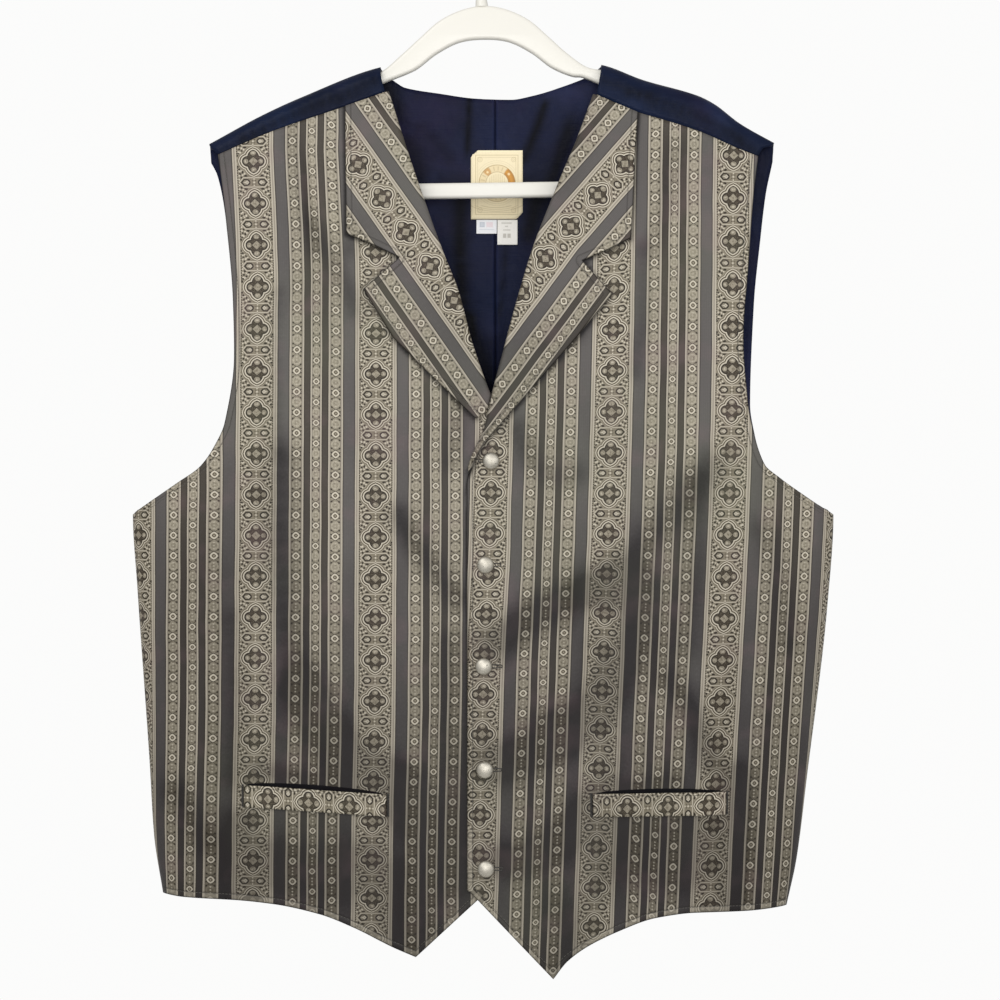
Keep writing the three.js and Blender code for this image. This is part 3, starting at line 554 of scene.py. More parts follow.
    # Painted shade darkens the floats where the weave is turned from the light, and they go green or rose
    # by turns. Painted shadow darkens the very edges, and painted shade the groove of the edge stitching
    hue = place.noise(9, 2, 11)
    tangle = place.noise(30, 2, 17)
    colour = field.paint(
        colour,
        (hue.above(0.52, 5) * 0.12, srgb(112, 122, 92)),
        (tangle.above(0.53, 5) * 0.16, srgb(140, 112, 118)),
        ((painted_dimness * 0.48 + 0.18).clamp(), srgb(24, 20, 16)),
        ((edge - 0.7).inside(0.8) * 0.8, srgb(18, 16, 14)),
        (edge.line(5.3, 0.45, 0.7) * 0.45, srgb(30, 27, 23)),
    )
    tone = field.node("RGBToBW", (colour,))
    seam = edge.line(5.3, 0.5, 2.2) * -1 + edge.line(0, 1.2, 2.4) * -0.8
    relief = tone * 1.1 + (v.repeat(0.8) + speck * 1.5 + u.repeat(0.7)) * 0.12 + seam * 4
    crease = place.noise(34, 3, 8, (1, 1, 0.5))
    bump = field.node("Bump", {"Strength": 0.3, "Distance": 0.0003, "Height": relief})
    bump = field.node("Bump", {"Strength": 0.35, "Distance": 0.003, "Height": crease, "Normal": bump})
    connect(field, shader, Base_Color=colour, Normal=bump, Roughness=0.5 + (fine - 0.5) * 0.15 + tone * 0.1)
    return made


def make_satin(name, colour, sheen_streak=0.5, roughness=0.36):
    made, field, shader = material(name, Specular_IOR_Level=0.06)
    cloth = field.node("UVMap", uv_map="cloth")
    look = field.node("UVMap", uv_map="look")
    place = field.node("TexCoord", out="Object")
    v = cloth.part(1) * 1000
    threads = cloth.noise(260, 3, 2, (0.25, 3, 1))
    cloud = place.noise(14, 3, 5)
    sheen_patch = place.noise(20, 5, 12, (0.9, 1, 0.8))
    seam = look.part(1) * 1000
    tint = field.paint(
        srgb(*colour),
        # Painted sheen: lighter streaks along the threads
        (threads.above(0.5, 1.6) * sheen_streak, tinted(colour, 1.4, 5)),
        (cloud.above(0.5, 3.5) * 0.65, tinted(colour, (1.55, 0.9, 1.0))),
        (cloud.below(0.47, 3.5) * 0.5, tinted(colour, (0.85, 1.2, 1.25))),
        # Painted sheen and shade: lighter and darker patches, as on crushed satin
        (sheen_patch.above(0.53, 7) * 0.32, tinted(colour, 1.5, 9)),
        (sheen_patch.below(0.46, 7) * 0.4, tinted(colour, 0.5)),
        # Painted shade in the creases; the dark line is the centre back seam, with a painted highlight
        # beside it
        (look.part(0).clamp() * 0.95, srgb(5, 5, 9)),
        (seam.line(0, 0.3, 0.5) * 0.55, srgb(6, 6, 11)),
        (seam.line(2.0, 0.8, 1.2) * 0.12, tinted(colour, 1.5, 9)),
    )
    crumple = place.noise(26, 4, 8, (1, 1, 0.6))
    height = crumple + threads * 0.05 + v.repeat(0.9) * 0.01
    bump = field.node("Bump", {"Strength": 0.8, "Distance": 0.006, "Height": height})
    connect(field, shader, Base_Color=tint, Normal=bump, Roughness=roughness + (threads - 0.5) * 0.2)
    return made


brocade = make_brocade()
satin = make_satin("navy_satin", (22, 29, 50))
lining_cloth = make_satin("navy_lining", (26, 30, 53), 0.3, 0.42)


def dress(piece, *materials):
    for each in materials:
        piece.data.materials.append(each)
    return piece


def front_place(side, s, w):
    """A point of a front: s from its edge to its side, w from the hem (0) to the shoulder seam (3)."""
    (neck_x, neck_z), (arm_x, arm_z) = side.seam_ends
    bottom_x, end_z = side.edge(BOTTOM), side.hem_out(END)
    bottom_z = side.hem_in(-END)
    # Three rows run level: one below the armhole, one at its lowest point and one halfway up it
    levels = (-715, PIT, -340)
    edge_z = np.interp(w, [0, 1, 1.5, 2, 3], [bottom_z, *levels, neck_z])
    outer_z = np.interp(w, [0, 1, 1.5, 2, 3], [end_z, *levels, arm_z])
    outline = np.where(outer_z > PIT, side.front_arm(outer_z), side.side(outer_z))
    hem_x = mix(bottom_x, side.side(end_z), s)
    hem_z = np.where(hem_x < side.point, side.hem_in(hem_x), side.hem_out(hem_x))
    seam_x = mix(neck_x, arm_x, s)
    x = mix(side.edge(edge_z), outline, s)
    z = (
        mix(edge_z, outer_z, s)
        + (1 - ease(w)) * (hem_z - mix(bottom_z, end_z, s))
        + ease(w - 2) * (side.shoulder(seam_x) - mix(neck_z, arm_z, s))
    )
    return side.sign * x, z


# Painted shade: places where the weave is turned from the light or a fold shades it, as arcs through three
# points in x and z, with a width and how dark they are painted
RIGHT_SHADE_ARCS = (
    (-180, -480, -188, -580, -160, -680, 17, 0.6), (-160, -680, -128, -750, -78, -770, 19, 0.95),
    (-78, -770, -50, -800, -18, -835, 22, 1.0), (-76, -528, -52, -565, -24, -600, 12, 0.6),
    (-215, -800, -222, -840, -215, -868, 16, 0.6), (-60, -860, -78, -885, -58, -912, 26, 0.85),
    (-188, -835, -150, -850, -105, -838, 22, 0.7), (-272, -775, -262, -790, -250, -815, 14, 0.55),
    (-200, -752, -150, -765, -110, -765, 9, 0.5), (-152, -270, -134, -300, -112, -345, 10, 0.35),
    (-172, -180, -165, -240, -150, -290, 9, 0.3), (-222, -620, -215, -700, -222, -760, 12, 0.35),
    (-30, -640, -36, -700, -20, -790, 13, 0.45), (-186, -330, -188, -400, -184, -470, 8, 0.35),
    (-20, -420, -24, -450, -30, -480, 10, 0.4), (-100, -225, -112, -262, -118, -290, 10, 0.35),
)
LEFT_SHADE_ARCS = (
    (204, -484, 150, -545, 108, -590, 17, 0.6), (110, -588, 60, -600, 10, -640, 17, 0.95),
    (140, -590, 135, -680, 66, -720, 19, 0.85), (66, -720, 40, -740, 12, -746, 18, 0.9),
    (164, -672, 190, -700, 200, -745, 12, 0.6), (20, -832, 52, -838, 96, -785, 15, 0.85),
    (96, -785, 130, -770, 165, -765, 10, 0.5), (125, -808, 155, -850, 190, -815, 30, 0.75),
    (224, -760, 226, -820, 222, -866, 14, 0.75), (140, -290, 148, -340, 132, -400, 10, 0.35),
    (30, -452, 52, -505, 80, -490, 12, 0.45), (185, -500, 190, -580, 176, -640, 18, 0.45),
    (40, -370, 56, -400, 90, -350, 12, 0.4), (100, -640, 120, -740, 100, -860, 12, 0.3),
    (60, -870, 84, -895, 70, -925, 18, 0.35), (246, -540, 262, -560, 270, -640, 12, 0.3),
    (170, -200, 160, -250, 150, -290, 10, 0.3),
)


# Outer edges of the lapels by x and z, and the height on the fold that each point is level with
RIGHT_LAPEL = (
    (-124, -162, -149.5), (-123.5, -202.5, -180.5), (-122.5, -246.5, -216.5), (-122, -277.5, -242.5),
    (-99.5, -287, -258), (-74.5, -299, -273.5), (-106.5, -327.5, -302.5), (-80, -370.5, -338),
    (-58.5, -392, -364.5), (-37, -413, -392), (-18, -431.5, -417.5), (-7, -442, -438),
)
LEFT_LAPEL = (
    (137.5, -167.5, -152), (134.5, -210.5, -189), (132.5, -253.5, -225), (130.5, -281.5, -247),
    (109, -292.5, -263), (87, -302, -279), (113.5, -331.5, -307), (83, -369, -346),
    (44.5, -413, -396), (22.5, -438.5, -425.5), (1, -463, -453), (-6, -476, -470), (-12.5, -491.5, -488.5),
)


def shade_from_arcs(rows, x, z, ground=0):
    """Painted shade: how far the cloth is turned from the light, summed from arcs over its ground."""
    total = np.zeros(np.shape(x)) + ground
    for x0, z0, x1, z1, x2, z2, width, strength in rows:
        nearest = np.full(np.shape(x), 1e9)
        for k in np.linspace(0, 1, 15):
            at_x = (1 - k) ** 2 * x0 + 2 * k * (1 - k) * x1 + k * k * x2
            at_z = (1 - k) ** 2 * z0 + 2 * k * (1 - k) * z1 + k * k * z2
            nearest = np.minimum(nearest, np.hypot(x - at_x, z - at_z))
        total = total + strength * np.exp(-((nearest / width) ** 2))
    return total


def beside(line, x, z, width):
    """1 on a line of points in x and z, falling away to each side of it."""
    nearest = np.full(np.shape(x), 1e9)
    for (x0, z0), (x1, z1) in zip(line[:-1], line[1:]):
        along = ((x - x0) * (x1 - x0) + (z - z0) * (z1 - z0)) / ((x1 - x0) ** 2 + (z1 - z0) ** 2)
        along = np.clip(along, 0, 1)
        nearest = np.minimum(nearest, np.hypot(x - mix(x0, x1, along), z - mix(z0, z1, along)))
    return np.exp(-((nearest / width) ** 2))


def from_edges(side, x, z):
    """Distance to the nearest stitched edge of a front: its front edge, hem or armhole."""
    out, far = np.abs(x), 99.0
    reach = np.where(side is Left, side.sign * x - side.edge(z), far)
    hem = (z - np.where(out < side.point, side.hem_in(side.sign * x), side.hem_out(out))) * 0.93
    arm = np.where(z > -530, side.front_arm(z) - out, far)
    return np.minimum(np.minimum(reach, hem), np.maximum(arm, 0))


def front(name, side, lap, rows, phase, lapel_rows):
    tip = (side.point - side.edge(BOTTOM)) / (side.side(side.hem_out(END)) - side.edge(BOTTOM))
    past = np.linspace(0, 1, 88)
    past = mix(past, 1 - (1 - past) ** 2, 0.75 * past**3)
    s = np.concatenate([np.linspace(0, tip, 25)[:-1], mix(tip, 1, past)])
    w = np.concatenate([
        np.linspace(0, 1, 60)[:-1], np.linspace(1, 1.5, 60)[:-1],
        np.linspace(1.5, 2, 62)[:-1], np.linspace(2, 3, 56),
    ])
    x, z = front_place(side, s[None, :], w[:, None])
    z[-1] -= 0.15
    outer = np.stack([x, front_y(x, z, lap), z], -1)
    inner = outer - normals(outer, (0, -1, 0)) * FRONT_WALL
    u = (girth(x, z, front_depth(np.maximum(-120 - z, 0))) - side.stripe(z)) * side.spread(z)
    away = side.sign * x
    if side is Right:
        u = u + 4.4 * ease((away - 210) / 60)
    else:
        u = u - 2.3 * (1 - ease((away - 12) / 60)) * (1 - ease((-550 - z) / 110))
    rise = side.inner_rise(z) * mix(0.35, 1, ease(away / 110))
    v = z - phase - mix(rise, side.outer_rise(z), ease((away - 100) / 60))
    # Painted shade: a ground that grows towards the hem and is less near the side, the listed arcs, a
    # painted shadow along each lapel's outer edge and, on the right front, one along the left front's edge
    ground = 0.62 * ease((-400 - z) / 460) * (1 - 0.25 * ease((away - 235) / 60))
    shade = shade_from_arcs(rows, x, z, ground) + 1.1 * beside([row[:2] for row in lapel_rows], x, z, 2.2)
    if side is Right:
        placket = [(Left.edge(-488) - 0.8, -488), (Left.edge(BOTTOM) - 0.8, -858)]
        shade = shade + 0.9 * beside(placket, x, z, 1.5)
    look = np.stack([shade, from_edges(side, x, z) / 1000], -1)
    piece = shell(name, outer, inner, np.stack([u, v], -1), look=look)
    return dress(piece, brocade, lining_cloth)


right_front = front("vest_right_front", Right, 0, RIGHT_SHADE_ARCS, -365.4, RIGHT_LAPEL)
left_front = front("vest_left_front", Left, LAP, LEFT_SHADE_ARCS, -362.5, LEFT_LAPEL)
for piece, node, area in ((right_front, "right_front", 0.215), (left_front, "left_front", 0.22)):
    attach(piece, "root")
    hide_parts(node)


# The notched collar and lapel on each side, cut in one piece from the same brocade with the grain
# leaning, turned out along a soft roll at the neck edge and lying on its front. The pressed roll
# is thickest, and the free outer edge stands a little off the front.
# Gap between a lapel and its front, half of the lapel's wall, and how far its free edge stands off
LAPEL_GAP, LAPEL_HALF, LAPEL_LIFT = 0.6, 0.9, 2.4


def resample(points, step):
    points = np.asarray(points, float)
    length = np.concatenate([[0], np.cumsum(np.linalg.norm(np.diff(points, axis=0), axis=1))])
    at = np.arange(0.5 * step, length[-1], step)
    return np.stack([np.interp(at, length, points[:, k]) for k in range(points.shape[1])], -1)


def lapel(name, side, lap, rows, grain, origin, turn_out, stretch):
    table = np.array(rows, float)
    t = np.concatenate([np.linspace(k, k + 1, 13)[:-1] for k in range(len(rows) - 1)] + [[len(rows) - 1]])
    out_x, out_z, fold_z = (np.interp(t, np.arange(len(rows)), table[:, k])[:, None] for k in range(3))
    fold_x = side.sign * side.edge(fold_z)
    if side is Right:
        fold_x = np.minimum(fold_x, Left.edge(fold_z) - 6)
    s = np.concatenate([np.linspace(0, 0.12, 6)[:-1], np.linspace(0.12, 1, 30)])[None, :]
    x, z = mix(fold_x, out_x, s), mix(fold_z, out_z, s)
    y = front_y(x, z, lap) - (LAPEL_GAP + LAPEL_HALF + LAPEL_LIFT * ease(s)) + 0 * x
    flat = np.stack([x, y, z], -1)
    turn = np.linspace(np.pi, 0, 9)[None, :-1]
    roll = 2.5
    inward = np.array([fold_x - out_x, fold_z - out_z])
    inward = inward / (np.hypot(*inward) + 1e-9)
    start = flat[:, :1, :]
    rolled = np.stack([
        start[..., 0] + inward[0] * roll * np.sin(turn),
        start[..., 1] + roll * (1 - np.cos(turn)),
        start[..., 2] + inward[1] * roll * np.sin(turn),
    ], -1)
    middle = np.concatenate([rolled, flat], axis=1)
    normal = normals(middle, (0, -1, 0))
    # The hidden half of the roll faces the front under it
    hidden = slice(0, turn.shape[1] // 2 + 1)
    normal[:, hidden] *= np.where(normal[:, hidden, 1:2] * np.cos(turn[:, hidden, None]) > 0, -1, 1)
    lean = math.radians(grain)
    offset = middle[..., [0, 2]] - np.array(origin)
    u = offset[..., 0] * math.cos(lean) + offset[..., 1] * math.sin(lean)
    v = -offset[..., 0] * math.sin(lean) + offset[..., 1] * math.cos(lean)
    u = u - turn_out * np.maximum(-v - 12, 0)
    v = v * np.where(v < 0, stretch, 0.968)
    outline = resample(np.stack([out_x[:, 0], out_z[:, 0]], -1), 0.5)
    flat_points = middle[..., [0, 2]].reshape(-1, 1, 2)
    edge = np.concatenate([
        np.linalg.norm(part - outline[None], axis=2).min(axis=1) for part in np.array_split(flat_points, 40)
    ]).reshape(middle.shape[:2])
    # Painted shade, growing down the lapel, and the distance from the lapel's outer edge
    look = np.stack([0.02 + 0.25 * ease((-middle[..., 2] - 300) / 150), edge / 1000], -1)
    wall = normal * LAPEL_HALF
    piece = shell(name, middle + wall, middle - wall, np.stack([u, v], -1), look=look)
    return dress(piece, brocade, brocade)


right_lapel = lapel("vest_right_lapel", Right, 0, RIGHT_LAPEL, 35, (-69, -276.5), 0, 0.968)
left_lapel = lapel("vest_left_lapel", Left, LAP, LEFT_LAPEL, -40.7, (77, -271.5), 0.075, 0.99)
for piece, node in ((right_lapel, "right_lapel"), (left_lapel, "left_lapel")):
    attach(piece, "root")
    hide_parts(node)


# The two pocket welts, folded strips of the brocade with the stripe turned to run along them,
# sewn to the fronts along the bottom and ends and gaping a little at the top.

# Side, lap, the ends of the top edge by x and z with the inner one first, and height of the strip
WELTS = {
    "right": (Right, 0, (85.5, -774), (212.5, -766), 19.5),
    "left": (Left, LAP, (96, -773.5), (215, -772.5), 20.5),
}


def welt(name, phase, shade):
    """A folded strip on a front, whose stripe climbs from 0.31 to 0.46 of its height outwards."""
    side, lap, (inner_x, inner_top), (outer_x, outer_top), height = WELTS[name]
    s = np.linspace(0, 1, 64)[None, :]
    t = np.linspace(0, 1, 13)[:, None]
    x = side.sign * mix(inner_x, outer_x, s) + 0 * t
    z = mix(inner_top, outer_top, s) - height * (1 - t)
    puff = 0.5 * np.sin(np.pi * t) ** 0.5 * np.sin(np.pi * s) ** 0.2
    under = np.stack([x, front_y(x, z, lap) - (0.9 + 0.6 * t), z], -1)
    normal = normals(under, (0, -1, 0))
    outer = under + normal * (1.6 + puff[..., None] - 0.3)
    uv = np.stack([(t - mix(0.31, 0.46, s)) * height, x - phase + 0 * t], -1)
    ends = np.minimum(s, 1 - s) * (outer_x - inner_x)
    edge = np.minimum(ends, (1 - t) * height + 3)
    # Painted shade along the welt, from one given amount at its inner end to another at its outer end
    look = np.stack([mix(*shade, s) + 0 * x, edge / 1000 + 0 * x], -1)
    return dress(shell(f"vest_{name}_welt", outer, under, uv, look=look), brocade, brocade)


right_welt, left_welt = welt("right", -190.8, (0.2, 0.1)), welt("left", 162.8, (0.5, 0.12))
for piece, node in ((right_welt, "right_welt"), (left_welt, "left_welt")):
    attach(piece, "root")
    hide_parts(node)


# The back: navy satin with a centre seam, lying flat behind and coming forward over the shoulders as
# two flaps to the front's shoulder seam. Its lining is two halves of thinner satin that meet in the
# centre back seam, seen inside the neck.
BACK_FOLDS = (
    (-150, -260, -560, 30, 22, 3.4), (-70, -240, -520, 10, 16, -3.0), (60, -220, -560, 12, 18, -3.4),
    (165, -280, -620, -34, 22, 3.2), (-205, -560, -840, 14, 18, -3.6), (-40, -560, -850, -30, 24, 3.8),
    (120, -600, -860, 18, 22, -3.6), (220, -560, -850, -16, 17, 3.2), (-110, -300, -520, 24, 7, 1.2),
    (30, -260, -480, -20, 8, 1.1), (110, -340, -560, -16, 8, -1.2), (-20, -600, -820, 12, 9, -1.2),
    (170, -600, -800, 10, 8, 1.2), (-160, -600, -820, -12, 9, 1.2),
)
# The back neck by x and z, and how far each flap's neck and armhole edges lie from the centre line
# by their drop below the ridge, which counts as negative in front
back_neck = curve(
    (-82, -134.5), (-71, -141), (-39.5, -146), (0, -150.5), (32, -151.5), (49, -148), (75, -139),
    (91.5, -132.5),
)
FLAPS = {
    Right: {
        "neck": curve((16.5, 81.5), (6, 88), (0, 93), (-12, 92), (-22, 88.5)),
        "arm": curve((16.5, 246), (6, 247), (0, 247), (-12, 241), (-22, 238.5)),
    },
    Left: {
        "neck": curve((16.5, 91), (6, 99), (0, 105.5), (-12, 104), (-22, 101)),
        "arm": curve((16.5, 260), (6, 261), (0, 261), (-12, 250), (-22, 246)),
    },
}
# Where the centre back seam runs, and the drop behind where the cloth starts to roll over the ridge
BACK_SEAM, ROLL_START = 10, 16.5
# The neck's share of the width
NECK_FROM, NECK_TO = 0.326, 0.665
# The back's wall, and the depth of the lining's two faces under the back's outer one
BACK_WALL, LINING_FACES = 1.2, (1.5, 2.5)


def back_y(x, z):
    plain, fade = stand_off(x, z, back_depth)
    return plain + folded(BACK_FOLDS, x, z) * fade


def back_grid(right_count, neck_count, left_count, spacing):
    """Rows that climb the back to the neck, then go on over the two shoulders to the front."""
    s = np.concatenate([
        np.linspace(0, NECK_FROM, right_count)[:-1],
        np.linspace(NECK_FROM, NECK_TO, neck_count)[:-1],
        np.linspace(NECK_TO, 1, left_count),
    ])
    first, last = right_count - 1, right_count + neck_count - 2
    tips = [side.ridge(side.back_arm(-210)) - ROLL_START for side in (Right, Left)]
    corners = (-FLAPS[Right]["neck"](ROLL_START), FLAPS[Left]["neck"](ROLL_START))
    hems = [side.hem_out(END) for side in (Right, Left)]
    levels = np.concatenate([
        np.linspace(-825, PIT, int(298 / spacing))[:-1],
        np.linspace(PIT, -484, int(43 / spacing * 1.6))[:-1],
        np.linspace(-484, -240, int(244 / spacing)),
    ])
    low = np.linspace(0, 1, int(45 / spacing) + 1)[:-1]
    high = np.linspace(0, 1, int(30 / spacing) + 2)[1:]
    rows = []

    def outline(side, z):
        return np.where(z > PIT, side.back_arm(z), side.side(z))

    seam = int(np.argmin(np.abs(mix(-outline(Right, -500), outline(Left, -500), s) - BACK_SEAM)))
    heights = [tuple(mix(hem, -825, k) for hem in hems) for k in low]
    heights += [(level, level) for level in levels]
    heights += [tuple(mix(-240, tip, k) for tip in tips) for k in high]
    top_x = np.where(
        s < s[first], mix(-outline(Right, tips[0]), corners[0], s / s[first]),
        np.where(
            s > s[last], mix(corners[1], outline(Left, tips[1]), (s - s[last]) / (1 - s[last])),
            mix(corners[0], corners[1], (s - s[first]) / (s[last] - s[first])),
        ),
    )
    on_neck = (s >= s[first]) & (s <= s[last])
    ridge = by_side(top_x, Right.ridge(np.abs(top_x)), Left.ridge(np.abs(top_x)))
    top_z = np.where(on_neck, back_neck(top_x), ridge - ROLL_START)
    for right_z, left_z in heights:
        x = mix(-outline(Right, right_z), outline(Left, left_z), s)
        z = mix(right_z, left_z, s)
        middle = 0.5 * (right_z + left_z)
        share = ease((middle + 300) / (0.5 * sum(tips) + 300))
        x = x + share * (top_x - mix(-outline(Right, tips[0]), outline(Left, tips[1]), s))
        x = x + (BACK_SEAM - x[seam]) * np.exp(-(((np.arange(len(s)) - seam) / 14) ** 2))
        z = z + share * (top_z - mix(tips[0], tips[1], s))
        z = z + 12 * np.sin(np.pi * s) * (1 - ease((middle + 872) / 200))
        rows.append(np.stack([x, back_y(x, z), z], -1))
    neck_row = len(rows) - 1
    out = {
        Right: np.clip(1 - s / s[first], 0, 1),
        Left: np.clip((s - s[last]) / (1 - s[last]), 0, 1),
    }
    # Eighteen rows roll over the ridge, and five more run down to the shoulder seam
    for degrees in list(np.linspace(80, -90, 18)) + [None] * 5:
        x, y, z = np.zeros_like(s), np.zeros_like(s), np.zeros_like(s)
        for side, mine in ((Right, s < 0.5), (Left, s >= 0.5)):
            if degrees is None:
                k = (len(rows) - neck_row - 18) / 5
                flap_x = mix(FLAPS[side]["neck"](-NOSE), FLAPS[side]["arm"](-NOSE), out[side])
                flap_z = side.ridge(flap_x) - NOSE
                (neck_x, _), (arm_x, _) = side.seam_ends
                seam_x = mix(neck_x, arm_x, out[side])
                here_x = mix(flap_x, seam_x, k)
                here_z = mix(flap_z, side.shoulder(seam_x) + 0.15, k)
            else:
                drop = np.sign(degrees) * NOSE * (1 - math.cos(math.radians(degrees)))
                here_x = mix(FLAPS[side]["neck"](drop), FLAPS[side]["arm"](drop), out[side])
                here_z = side.ridge(here_x) - abs(drop)
            here_x = side.sign * here_x
            behind = degrees is not None and degrees >= 0
            here_y = back_y(here_x, here_z) if behind else front_y(here_x, here_z)
            x, y, z = np.where(mine, here_x, x), np.where(mine, here_y, y), np.where(mine, here_z, z)
        rows.append(np.stack([x, y, z], -1))
    grid = np.array(rows)
    keep = np.ones((grid.shape[0] - 1, grid.shape[1] - 1), bool)
    keep[neck_row:, first:last] = False
    return grid, keep, seam


def over_normals(grid):
    """Normals that turn with the cloth over the shoulders."""
    normal = np.cross(np.gradient(grid, axis=1), np.gradient(grid, axis=0))
    normal /= np.linalg.norm(normal, axis=2, keepdims=True) + 1e-12
    return -normal if normal[5, grid.shape[1] // 2, 1] < 0 else normal


def cloth_map(grid):
    return np.stack([grid[..., 0], grid[..., 2]], -1)


# Painted shade in the creases of the flaps, of the back and of the lining, as arcs through three points in
# x and z with a width and how dark they are painted
FLAP_CREASE_SHADE = (
    (-216, -189, -150, -160, -99, -139, 5, 0.55), (-236, -202, -215, -194, -196, -187, 5, 0.4),
    (130, -150, 190, -163, 229, -190, 4.5, 0.55), (150, -161, 190, -178, 238, -199, 4, 0.35),
    (106, -138, 120, -143, 150, -150, 5, 0.4), (-130, -158, -118, -152, -104, -150, 4, 0.35),
)
BACK_CREASE_SHADE = (
    (-214, -268, -170, -300, -120, -312, 16, 0.45), (236, -262, 180, -300, 128, -318, 16, 0.45),
    (-222, -500, -160, -520, -110, -600, 20, 0.5), (244, -498, 180, -525, 130, -590, 20, 0.5),
    (-205, -560, -188, -680, -196, -850, 30, 0.45), (-84, -600, -98, -720, -90, -850, 34, 0.45),
    (72, -560, 88, -700, 80, -850, 34, 0.45), (206, -600, 192, -720, 204, -850, 30, 0.45),
    (-90, -190, 0, -212, 96, -192, 18, 0.35),
)
LINING_CREASE_SHADE = (
    (-13, -142, -14, -168, -15, -195, 3.2, 1.0), (55, -156, 47, -182, 36, -204, 4.5, 1.0),
    (-92, -132, -84, -150, -78, -158, 7, 0.8), (-21, -240, -24, -300, -18, -360, 8, 1.0),
    (-12, -350, -4, -390, 10, -420, 7, 0.8), (43, -232, 50, -250, 40, -272, 9, 0.9),
    (78, -175, 66, -215, 56, -236, 7, 0.9), (-70, -190, -52, -215, -62, -232, 9, 0.6),
    (-40, -225, -8, -232, 30, -226, 7, 0.5), (20, -262, 20, -310, 12, -350, 3, 0.6),
    (-60, -146, -20, -138, 24, -142, 5, 0.35), (-78, -168, -44, -178, -30, -206, 5, 0.4),
)
grid, keep, seam_column = back_grid(46, 58, 46, 4.6)
turned_out = over_normals(grid)


def satin_look(behind, in_front):
    """Painted shade of the creases on the cloth's back part and on its flaps, and the distance from the
    centre back seam.
    """
    x, y, z = np.moveaxis(grid, 2, 0)
    shade = np.where(y > 0, shade_from_arcs(behind, x, z), shade_from_arcs(in_front, x, z))
    return np.stack([shade, np.where(y > 0, np.abs(x - BACK_SEAM) / 1000, 1)], -1)


flap_look = satin_look(BACK_CREASE_SHADE, FLAP_CREASE_SHADE)
back = shell("vest_back", grid, grid - turned_out * BACK_WALL, cloth_map(grid), keep, flap_look)
dress(back, satin, lining_cloth)
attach(back, "root")
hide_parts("back")

lining_look = satin_look(LINING_CREASE_SHADE, LINING_CREASE_SHADE)
for name, sign in (("right", -1), ("left", 1)):
    outer, inner = (grid - turned_out * depth for depth in LINING_FACES)
    for layer in (outer, inner):
        layer[:, seam_column, 0] += sign * 0.15
    half = keep.copy()
    half[:, slice(seam_column, None) if sign < 0 else slice(seam_column)] = False
    lining = shell("vest_lining_" + name, outer, inner, cloth_map(grid), half, lining_look)
    dress(lining, lining_cloth, lining_cloth)
    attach(lining, "root")
    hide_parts("back_lining_" + name)


# The mouths of the pockets: the pocket cloth that shows in the gap above each welt, made near-black as
# painted shadow, a narrow strip that runs out to nothing at the ends.
def mouth(name, gape):
    side, lap, (inner_x, inner_top), (outer_x, outer_top), _ = WELTS[name]
    s = np.linspace(0, 1, 64)[None, :]
    t = np.linspace(0, 1, 5)[:, None]
    x = side.sign * mix(inner_x + 3, outer_x - 3, s) + 0 * t
    z = mix(inner_top, outer_top, s) + (t - 0.15) * gape * np.sin(np.pi * s) ** 0.5
    under = np.stack([x, front_y(x, z, lap) - 0.12, z], -1)
    outer = under + normals(under, (0, -1, 0)) * 0.35
    piece = shell("pocket_mouth_" + name, outer, under, np.stack([x, z], -1))
    return dress(piece, pocket_cloth_in_shadow, pocket_cloth_in_shadow)


# Near-black cloth: the pocket's inside in painted shadow
pocket_cloth_in_shadow = make_satin("pocket_cloth_in_shadow", (17, 16, 17), 0.3, 0.6)
for piece in (mouth("right", 4.8), mouth("left", 4.4)):
    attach(piece, "root")


# Edge stitching: one row of dark thread about five millimetres in from the hem, the front edge, the
# armholes and the lapels, lying in the cloth, and close black tacks at the ends of the welts.
EDGE_ROW, LAPEL_ROW = 5, 4.5


def inset(outline, distance):
    """The outline, in x and z, moved to its left by a distance."""
    outline = resample(outline, 1.0)
    along = np.gradient(outline, axis=0)
    along /= np.linalg.norm(along, axis=1, keepdims=True)
    moved = outline + distance * np.stack([-along[:, 1], along[:, 0]], -1)
    gap = np.linalg.norm(moved[:, None] - outline[None], axis=2).min(axis=1)
    return moved[gap > abs(distance) * 0.93]


def tube_faces(first, rings, segments):
    """Sides and ends of a tube whose rings of points follow each other, starting at one point."""
    faces = []
    for ring in range(rings - 1):
        for k in range(segments):
            a, b = first + ring * segments + k, first + ring * segments + (k + 1) % segments
            faces.append((a, b, b + segments, a + segments))
    last = first + (rings - 1) * segments
    faces.append(tuple(range(first, first + segments))[::-1])
    faces.append(tuple(range(last, last + segments)))
    return faces


def stitches(name, runs, thread, spacing=3.1, length=2.3, radius=0.22):
    """Short rounded stitches along each run of points in space."""
    points, faces = [], []
    for run in runs:
        placed = resample(run, spacing)
        if len(placed) < 3:
            continue
        along = np.gradient(placed, axis=0)
        along /= np.linalg.norm(along, axis=1, keepdims=True)
        for middle, way in zip(placed, along):
            side = np.cross(way, (0, 1, 0))
            side /= np.linalg.norm(side)
            out = np.cross(side, way)
            first = len(points)
            for k, swell in ((-0.5, 0.4), (-0.3, 1.0), (0.3, 1.0), (0.5, 0.4)):
                for turn in range(6):
                    angle = turn * math.pi / 3
                    lift = (math.cos(angle) * side + math.sin(angle) * out) * radius * swell
                    points.append(middle + way * k * length + lift)
            faces += tube_faces(first, 4, 6)
    return dress(solid(name, points, faces), thread)


thread_dark, field, shader = material("thread_dark", Roughness=0.7, Sheen_Weight=0.3)
strand = field.node("TexCoord", out="Object").noise(1800, 2)
connect(field, shader, Base_Color=field.paint(srgb(52, 49, 44), (strand, srgb(84, 80, 70))))


